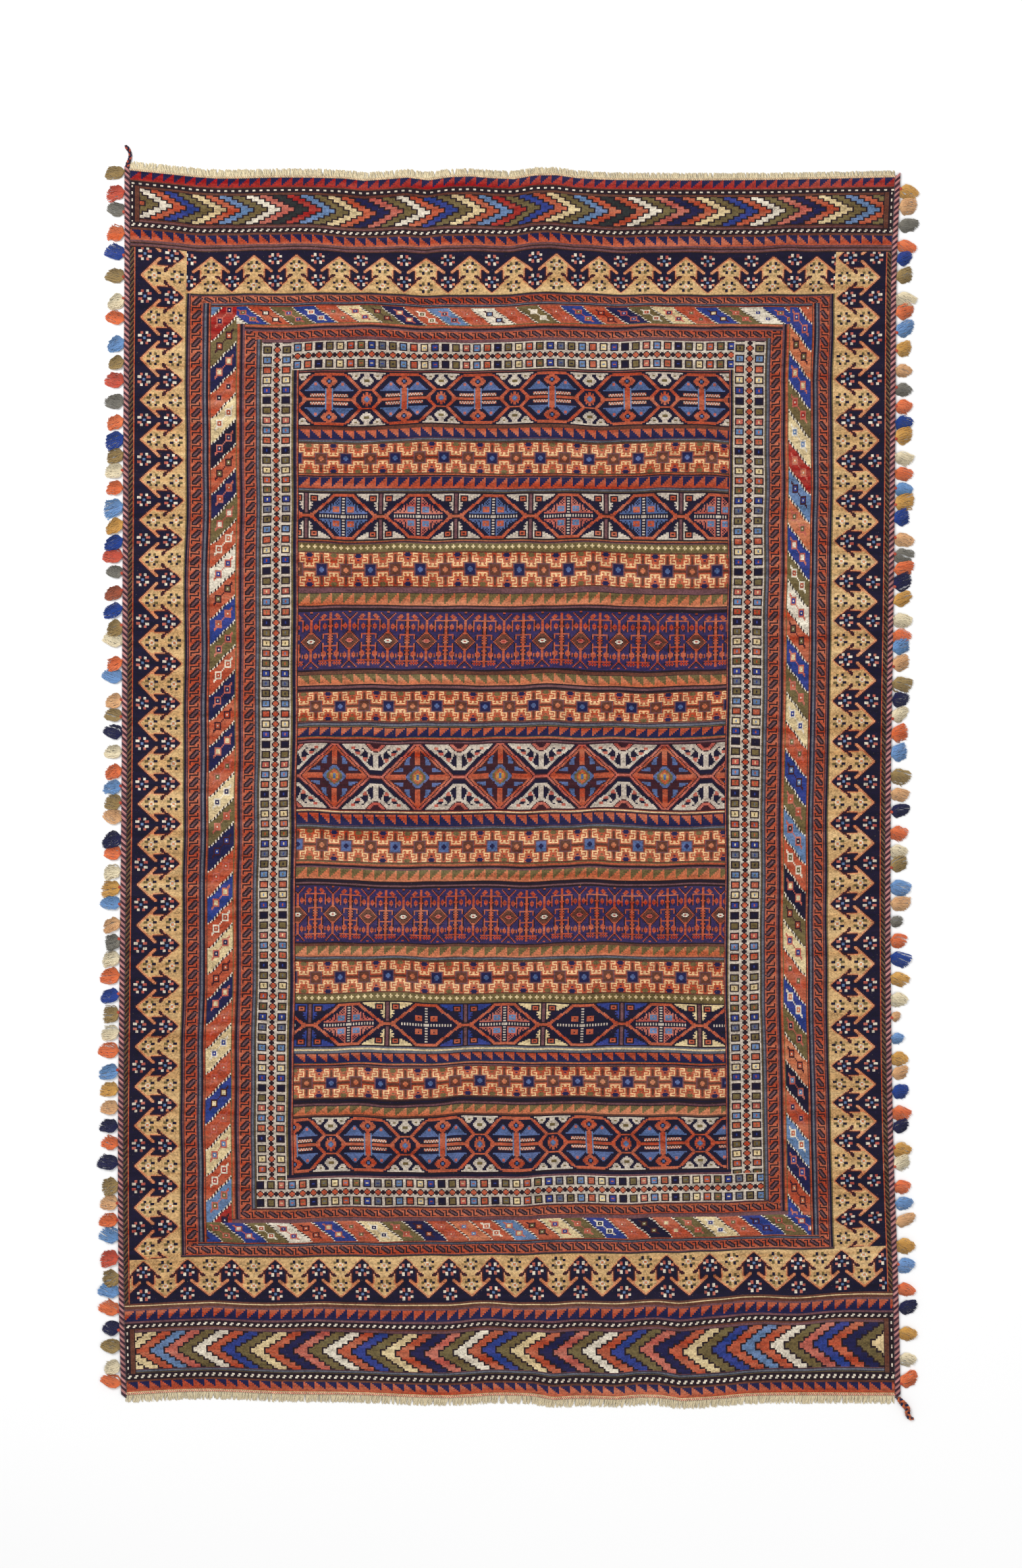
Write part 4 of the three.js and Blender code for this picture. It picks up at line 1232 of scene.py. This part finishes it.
# %% The tree for slanted wraps round a core
def wraps_tree():
    """Each wrap is an arch over the core. The two wools take turns after so many yarns, each yarn slips
    a little along the line, and the core below them is an oval tube in the second wool."""
    tree, wires, leave = new_group(
        "wraps round a core", "GeometryNodeTree",
        {"Line": "NodeSocketGeometry", "Yarns": "NodeSocketInt", "Yarn radius": "NodeSocketFloat",
         "Half width": "NodeSocketFloat", "Height": "NodeSocketFloat", "Lean": "NodeSocketFloat",
         "Across": "NodeSocketVector", "Yarns per wool": "NodeSocketFloat", "First wool": "NodeSocketFloat",
         "Second wool": "NodeSocketFloat", "Steps": "NodeSocketInt", "Sides": "NodeSocketInt",
         "Material": "NodeSocketMaterial"},
        {"Geometry": "NodeSocketGeometry"},
    )
    line = add_node(tree, "GeometryNodeMeshToCurve", {"Mesh": wires["Line"]}).outputs[0]
    even = {"Curve": line, "Count": wires["Yarns"]}
    points = add_node(tree, "GeometryNodeResampleCurve", even).outputs[0]
    here = add_node(tree, "GeometryNodeInputPosition").outputs[0]
    points = stored(tree, points, "root", here, "FLOAT_VECTOR")
    index = Flow(tree, add_node(tree, "GeometryNodeInputIndex").outputs[0])
    second = ((index + 0.5) / wires["Yarns per wool"]).floor() % 2
    wool = wires["First wool"] + second * (wires["Second wool"] - wires["First wool"])
    points = stored(tree, points, "wool", wool)
    points = stored(tree, points, "tone", any_number(tree, 0.0, 1.0, 7))
    points = stored(tree, points, "slip", any_number(tree, -0.25, 0.25, 11))
    curves = curve_at_points(tree, points, wires["Steps"])

    share = share_along(tree)
    # half a turn over the core, a little squarer than a circle, leaning ahead along the line
    turn = share * math.pi
    aside = reckon(tree, "COSINE", turn) * -1 * wires["Half width"]
    up = reckon(tree, "SINE", turn).at_least(0) ** 0.8 * wires["Height"]
    ahead = aside * wires["Lean"] + named(tree, "slip") * wires["Yarn radius"]
    root_x, root_y, root_z = split(tree, named(tree, "root", "FLOAT_VECTOR"), 3)
    across_x, across_y = split(tree, wires["Across"])
    place = join(
        tree, root_x + across_x * aside - across_y * ahead, root_y + across_y * aside + across_x * ahead,
        root_z + up + wires["Yarn radius"],
    )
    yarn = thick_yarn(tree, moved(tree, curves, Position=place), wires["Sides"], wires["Yarn radius"], 1.0)

    upright = add_node(tree, "GeometryNodeSetCurveNormal", {"Curve": line}, mode="Z_UP").outputs[0]
    lifted = join(tree, 0.0, 0.0, wires["Height"] * 0.5 + wires["Yarn radius"])
    ring = add_node(tree, "GeometryNodeCurvePrimitiveCircle", {"Resolution": 8, "Radius": 1.0}).outputs[0]
    oval = join(tree, wires["Half width"], wires["Height"] * 0.5, 1.0)
    ring = add_node(tree, "GeometryNodeTransform", {"Geometry": ring, "Scale": oval}).outputs[0]
    core = {"Curve": moved(tree, upright, Offset=lifted), "Profile Curve": ring, "Fill Caps": True}
    core = add_node(tree, "GeometryNodeCurveToMesh", core).outputs[0]
    core = stored(tree, core, "wool", wires["Second wool"])
    finish_tree(tree, leave, wires["Material"], core, yarn)
    return tree


WRAPS = wraps_tree()


# %% The tree for tubes along lines
def tubes_tree():
    """Lines carry thick, the radius at each point, and wool."""
    tree, wires, leave = new_group(
        "tubes of yarn", "GeometryNodeTree",
        {"Lines": "NodeSocketGeometry", "Sides": "NodeSocketInt", "Material": "NodeSocketMaterial"},
        {"Geometry": "NodeSocketGeometry"},
    )
    curves = add_node(tree, "GeometryNodeMeshToCurve", {"Mesh": wires["Lines"]}).outputs[0]
    yarn = thick_yarn(tree, curves, wires["Sides"], 1.0, named(tree, "thick"))
    finish_tree(tree, leave, wires["Material"], yarn)
    return tree


TUBES = tubes_tree()
print("trees:", [tree.name for tree in (LOCKS, WRAPS, TUBES)])

# %% [markdown]
# ## Edge cords
#
# A bundle of warps runs down each long side, and two wools are wrapped round it in pairs, slanting down
# towards the cloth on both sides of the rug. The wraps follow the bends of the cloth's edge.

# %% Cords along the long sides
PAIRS = 210  # of wraps, one in each wool, along a cord
YARNS_PER_WRAP = 2
CORD_STATIONS = 120
CORD_YARN = 1.4  # radius


def side_line(side, away):
    """Points on the floor along a long side, so many millimetres off the cloth's edge."""
    out = -1 if side == "left" else 1
    rows = []
    for i in range(CORD_STATIONS + 1):
        x, y, _ = on_floor(out * HALF_WIDTH, HALF_LENGTH - RUG_LENGTH * i / CORD_STATIONS)
        rows.append(((x + out * away) * MM, y * MM, 0.0))
    return rows


def edge_cord(side):
    rows = side_line(side, GAP + CORD_WIDTH / 2)
    base = seeds(f"cord_{side}_line", rows, [(i, i + 1) for i in range(len(rows) - 1)])
    return grown(
        f"wrapped_cord_{side}", base, WRAPS, yarns=PAIRS * 2 * YARNS_PER_WRAP, yarn_radius=CORD_YARN * MM,
        half_width=(CORD_WIDTH / 2 - CORD_YARN) * MM, height=(CORD_HEIGHT - 2 * CORD_YARN) * MM,
        lean=-1.0 if side == "left" else 1.0, across=(1.0, 0.0, 0.0), yarns_per_wool=float(YARNS_PER_WRAP),
        first_wool=yarn_number("mauve"), second_wool=yarn_number("aubergine"), steps=8, sides=4,
    )


cords = {side: edge_cord(side) for side in ("left", "right")}
print("triangles of a cord:", sum(len(p.vertices) - 2 for p in cords["left"].data.polygons))

# %% [markdown]
# ## Tassels
#
# Each tassel is a cut length of loose yarn, folded and knotted to the cord, often with a bit of brick
# wool. Their order of colours repeats with small breaks, so it is written down as a run of letters, one
# for each tassel, and their sizes and tilts vary as they do on the solids that they stand for.

# %% Places and wools of the tassels
# first and last place in millimetres from the top end, and how many, for each even run
TASSEL_RUNS = {
    "left": [(5, 444, 12), (478, 987, 16), (1030, 1531, 16), (1567, 2018, 13), (2050, 2371, 10)],
    "right": [(26, 452, 13), (483, 998, 17), (1031, 1505, 14), (1537, 2037, 14), (2080, 2371, 8)],
}
TASSEL_ORDER = {
    "left": "grkobgcolgrkobgcolybrkwbgcolpgncolgpnocylpkcobgcolypnongpolrglongco",
    "right": "ypkobgcolypkobycolybpkonycolpgncolgpnocglpkobycplypbonycolpylonyco",
}
WORN_DOWN = {("right", 42): 0.6, ("right", 47): 0.45, ("right", 48): 0.7}  # share of the length left
TASSEL_WOOLS = {
    "g": "olive gold", "r": "brick", "k": "grey", "o": "orange", "b": "royal blue", "c": "cream",
    "l": "light blue", "y": "ochre", "n": "navy", "p": "peach", "w": "rust",
}

# %% Tassels of both sides
TASSEL_LENGTH, TASSEL_WIDTH, TASSEL_TILT = (30, 40), (24, 32), 0.5
TASSEL_HEIGHT = 9.0
TASSEL_TIGHT = (-0.15, 0.35)  # below 0 its ends spread, above 0 they draw together
KNOT_AWAY, KNOT_HEIGHT, KNOT_SIZE = 1.3, 2.2, 3.6  # off the cord, over the floor, radius
TIED_IN_BRICK = 0.4  # share of the tassels
TASSEL_SEEDS = {"left": 1, "right": 200}
TASSEL_YARN = {
    "strands": 54, "yarn_radius": 0.75 * MM, "steps": 7, "sides": 4, "curl": 24 * MM, "waves": 5.0,
}


def chance(index, use):
    """A number from 0 to 1 for one use of it, which looks random but is the same on every run."""
    wave = math.sin(index * 12.9898 + use * 78.233) * 43758.5453
    return wave - math.floor(wave)


def between(span, share):
    return span[0] + (span[1] - span[0]) * share


def tassel_row(side):
    out = -1 if side == "left" else 1
    seed = TASSEL_SEEDS[side]
    places = [low + (high - low) * i / (count - 1)
              for low, high, count in TASSEL_RUNS[side] for i in range(count)]
    roots, ways, reaches, widths, tights, wools, ties = [], [], [], [], [], [], []
    for i, from_top in enumerate(places):
        x, y, _ = on_floor(out * HALF_WIDTH, HALF_LENGTH - from_top)
        tilt = TASSEL_TILT * (2 * chance(seed + i, 3) - 1)
        roots.append(((x + out * (CORD_WIDTH + KNOT_AWAY)) * MM, y * MM, KNOT_HEIGHT * MM))
        ways.append((out * math.cos(tilt), math.sin(tilt), 0.0))
        worn = WORN_DOWN.get((side, i), 1.0)
        reaches.append(between(TASSEL_LENGTH, chance(seed + i, 1)) * worn * MM)
        widths.append(between(TASSEL_WIDTH, chance(seed + i, 2)) * worn**0.5 * MM)
        tights.append(between(TASSEL_TIGHT, chance(seed + i, 5)))
        wools.append(yarn_number(TASSEL_WOOLS[TASSEL_ORDER[side][i]]))
        ties.append(yarn_number("brick") if chance(seed + i, 6) < TIED_IN_BRICK else wools[-1])
    base = seeds(f"tassel_{side}_roots", roots, out=ways, reach=reaches, wide=widths, tight=tights,
                 tall=[TASSEL_HEIGHT * MM] * len(roots), wool=wools, tie=ties)
    return grown(f"yarn_tassels_{side}", base, LOCKS, knot=KNOT_SIZE * MM, seed=seed, **TASSEL_YARN)


tassels = {side: tassel_row(side) for side in ("left", "right")}
for side, piece in tassels.items():
    print(side, "tassels:", sum(run[2] for run in TASSEL_RUNS[side]), "letters:",
          len(TASSEL_ORDER[side]), "faces:", len(piece.data.polygons))

# %% [markdown]
# ## Cut warps and twined lines
#
# At both ends the undyed warps stick out past a twined line, where two yarns cross between every pair
# of warps to lock the weaving. A warp is a few strands of cream yarn that have come apart, so each is a
# lock of five strands, and the twining is the same tree as the cords' wraps, with small sizes.

# %% Warp ends
WARP_TUFTS = 800
WARP_WIDTH, WARP_HEIGHT, WARP_ROOT = 4.5, 2.2, 1.6
WARP_UNEVEN = (0.86, 1.06)  # of its length, the shortest and the longest
WARP_SWING = 0.7  # how far the warps point this way and that
WARP_YARN = {"strands": 5, "yarn_radius": 0.6 * MM, "steps": 4, "sides": 3, "curl": 4 * MM, "waves": 2.0}
# which way they point, their length at the left and at the right, how far they lean to the right
WARP_ENDS = {"top": (1, 17, 11, 0.0), "bottom": (-1, 17, 18, -3.5)}


def end_line(end, away, height):
    """Points along an end of the cloth, so many millimetres past it."""
    out = WARP_ENDS[end][0]
    rows = []
    for i in range(WARP_TUFTS + 1):
        x = -HALF_WIDTH + 2 * HALF_WIDTH * i / WARP_TUFTS
        floor_x, floor_y, lift = on_floor(x, out * HALF_LENGTH)
        rows.append((floor_x * MM, (floor_y + out * away) * MM, (height + lift) * MM))
    return rows


def warp_ends(end):
    out, left, right, lean = WARP_ENDS[end]
    roots = end_line(end, GAP, WARP_ROOT)[1:-1]
    count = len(roots)
    ways, reaches = [], []
    for i in range(count):
        length = between((left, right), i / count) * between(WARP_UNEVEN, chance(i, 4 if out > 0 else 5))
        swing = lean / length + WARP_SWING * (chance(i, 8) - 0.5)
        size = math.hypot(1, swing)
        ways.append((swing / size, out / size, 0.0))
        reaches.append(length * MM)
    same = {"wide": WARP_WIDTH * MM, "tight": 0.0, "tall": WARP_HEIGHT * MM, "wool": yarn_number("warp")}
    base = seeds(f"warp_{end}_roots", roots, out=ways, reach=reaches,
                 **{label: [value] * count for label, value in same.items()})
    return grown(f"cut_warps_{end}", base, LOCKS, knot=0.0, seed=40, **WARP_YARN)


warps = {end: warp_ends(end) for end in ("top", "bottom")}
print("faces of the top warps:", len(warps["top"].data.polygons))

# %% Twined lines
TWINE_INSIDE = 1.6  # how far inside the cloth's end the twined line lies
TWINE_SUNK = 0.6  # how deep it lies in the cloth


def twined_line(end, wool):
    rows = end_line(end, -TWINE_INSIDE, CLOTH_THICKNESS - TWINE_SUNK)
    base = seeds(f"twined_{end}_line", rows, [(i, i + 1) for i in range(len(rows) - 1)])
    return grown(
        f"twined_line_{end}", base, WRAPS, yarns=WARP_TUFTS, yarn_radius=0.85 * MM, half_width=1.5 * MM,
        height=1.0 * MM, lean=0.9, across=(0.0, 1.0, 0.0), yarns_per_wool=1.0,
        first_wool=yarn_number("warp"), second_wool=yarn_number(wool), steps=5, sides=4,
    )


twining = {"top": twined_line("top", "sand"), "bottom": twined_line("bottom", "brick")}
print("faces of a twined line:", len(twining["top"].data.polygons))

# %% [markdown]
# ## Corner plaits
#
# At two corners the cord's own warps and wools are plaited into a short tail. Three strands weave from
# side to side while they pass over and under each other.

# %% Plaits
# along x, along y, radius, all in millimetres
PLAITS = {
    "top_left": [(-749.6, 1212.8, 4.2), (-748.0, 1220.4, 4.2), (-744.6, 1229.0, 3.8), (-743.4, 1238.0, 3.5),
                 (-745.4, 1246.0, 3.4), (-749.6, 1252.0, 4.0), (-753.0, 1257.0, 2.2)],
    "bottom_right": [(765.8, -1203.6, 4.0), (771.4, -1210.4, 5.6), (778.6, -1218.0, 6.2),
                     (784.4, -1225.6, 5.6), (784.8, -1235.6, 5.2), (789.2, -1243.4, 4.4),
                     (797.0, -1245.6, 2.2)],
}
PLAIT_WOOLS = {"top_left": ("navy", "brick", "aubergine"), "bottom_right": ("rust", "orange", "navy")}
PLAIT_PITCH = 15.0
PLAIT_STEPS = 70
# shares of the plait's radius: how far a strand goes aside and up, how thick it is, how high its middle is
STRAND_ASIDE, STRAND_UP, STRAND_THICK, STRAND_MIDDLE = 0.55, 0.3, 0.5, 0.85
NEARBY = 0.01  # of the path, between which its direction is measured


def plait(corner):
    rows = PLAITS[corner]
    shares = [i / (len(rows) - 1) for i in range(len(rows))]
    table = [(share, *row) for share, row in zip(shares, rows)]
    path = [table_curve(table, column) for column in (1, 2, 3)]
    points, lines, thick, wools = [], [], [], []
    for strand, wool in enumerate(PLAIT_WOOLS[corner]):
        length = 0.0
        for i in range(PLAIT_STEPS + 1):
            share = i / PLAIT_STEPS
            x, y, radius = (curve(share) for curve in path)
            before, after = max(0, share - NEARBY), min(1, share + NEARBY)
            way_x, way_y = (curve(after) - curve(before) for curve in path[:2])
            size = math.hypot(way_x, way_y)
            length += size / (2 * NEARBY) / PLAIT_STEPS
            turn = 2 * math.pi * (length / PLAIT_PITCH + strand / 3)
            aside = STRAND_ASIDE * radius * math.sin(turn)
            up = STRAND_UP * radius * math.sin(2 * turn)
            if i:
                lines.append((len(points) - 1, len(points)))
            spot = (x - way_y / size * aside, y + way_x / size * aside, radius * STRAND_MIDDLE + up)
            points.append([value * MM for value in spot])
            thick.append(STRAND_THICK * radius * MM)
            wools.append(yarn_number(wool))
    base = seeds(f"plait_{corner}_strands", points, lines, thick=thick, wool=wools)
    return grown(f"plaited_tail_{corner}", base, TUBES, sides=8)


plaits = {corner: plait(corner) for corner in PLAITS}
print("faces of a plait:", len(plaits["top_left"].data.polygons))

# %% [markdown]
# ## The studio
#
# The rug lies on a pale floor under soft lights, with the camera straight above it. The camera's height
# and place follow from the scale of the picture, so that the rug fills the same part of the frame.

# %% Camera, lights and floor
PHOTO_WIDTH, PHOTO_HEIGHT = 1552, 2380
MM_PER_PIXEL = 1.295
RUG_MIDDLE_PIXEL = (772.0, 1191.5)
LENS, SENSOR = 90, 36
view_height = PHOTO_HEIGHT * MM_PER_PIXEL * MM
camera_height = view_height * LENS / SENSOR
camera_x = (PHOTO_WIDTH / 2 - RUG_MIDDLE_PIXEL[0]) * MM_PER_PIXEL * MM
camera_y = (RUG_MIDDLE_PIXEL[1] - PHOTO_HEIGHT / 2) * MM_PER_PIXEL * MM

lens = bpy.data.cameras.new("camera")
lens.lens = LENS
lens.sensor_fit = "VERTICAL"
lens.sensor_height = SENSOR
lens.clip_end = 60
camera = bpy.data.objects.new("camera", lens)
camera.location = (camera_x, camera_y, camera_height)
bpy.context.scene.collection.objects.link(camera)
bpy.context.scene.camera = camera


def soft_light(name, place, size, power):
    lamp = bpy.data.lights.new(name, "AREA")
    lamp.size = size
    lamp.energy = power
    lamp_object = bpy.data.objects.new(name, lamp)
    lamp_object.location = place
    lamp_object.rotation_euler = (-Vector(place)).to_track_quat("-Z", "Y").to_euler()
    bpy.context.scene.collection.objects.link(lamp_object)


soft_light("key light", (-2.6, 2.4, 4.2), 2.4, 190)
soft_light("fill light", (2.8, -1.6, 4.6), 3.6, 90)
world = bpy.data.worlds.new("studio")
world.use_nodes = True
background = world.node_tree.nodes["Background"]
feed(background.inputs["Color"], (1, 1, 1, 1))
feed(background.inputs["Strength"], 0.55)
bpy.context.scene.world = world
bpy.context.scene.view_settings.view_transform = "Standard"


def floor_material():
    material = bpy.data.materials.new("pale floor")
    material.use_nodes = True
    shader = material.node_tree.nodes["Principled BSDF"]
    feed(shader.inputs["Base Color"], (0.9, 0.9, 0.9, 1))
    feed(shader.inputs["Roughness"], 0.9)
    return material


FLOOR_REACH = 12
floor_mesh = bpy.data.meshes.new("floor")
floor_corners = [(x * FLOOR_REACH, y * FLOOR_REACH, 0) for x, y in ((-1, -1), (1, -1), (1, 1), (-1, 1))]
floor_mesh.from_pydata(floor_corners, [], [(0, 1, 2, 3)])
floor_mesh.materials.append(floor_material())
floor = place_piece("floor", floor_mesh)
print("camera height, m:", round(camera_height, 2))

# %% Riding with the rug, and sizes
def dress(piece, slot, *nodes):
    """Makes a piece ride with the rug and stand for its solids, which it hides. slot is not used."""
    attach(piece, "root")
    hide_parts(*nodes)


dress(cloth, "cloth", "woven_cloth")
for side in ("left", "right"):
    dress(cords[side], "edge_cord", f"edge_cord_{side}")
    dress(tassels[side], f"tassels_{side}", f"tassels_{side}")
for end in ("top", "bottom"):
    dress(warps[end], "warp_ends", f"warp_ends_{end}")
    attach(twining[end], "root")
dress(plaits["top_left"], "plait_dark", "corner_plait_top_left")
dress(plaits["bottom_right"], "plait_rust", "corner_plait_bottom_right")
pieces = [cloth, *cords.values(), *tassels.values(), *warps.values(), *twining.values(), *plaits.values()]
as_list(pieces[1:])

counts = {piece.name: sum(len(p.vertices) - 2 for p in piece.data.polygons) for piece in pieces}
print("triangles:", counts, "in all:", sum(counts.values()))
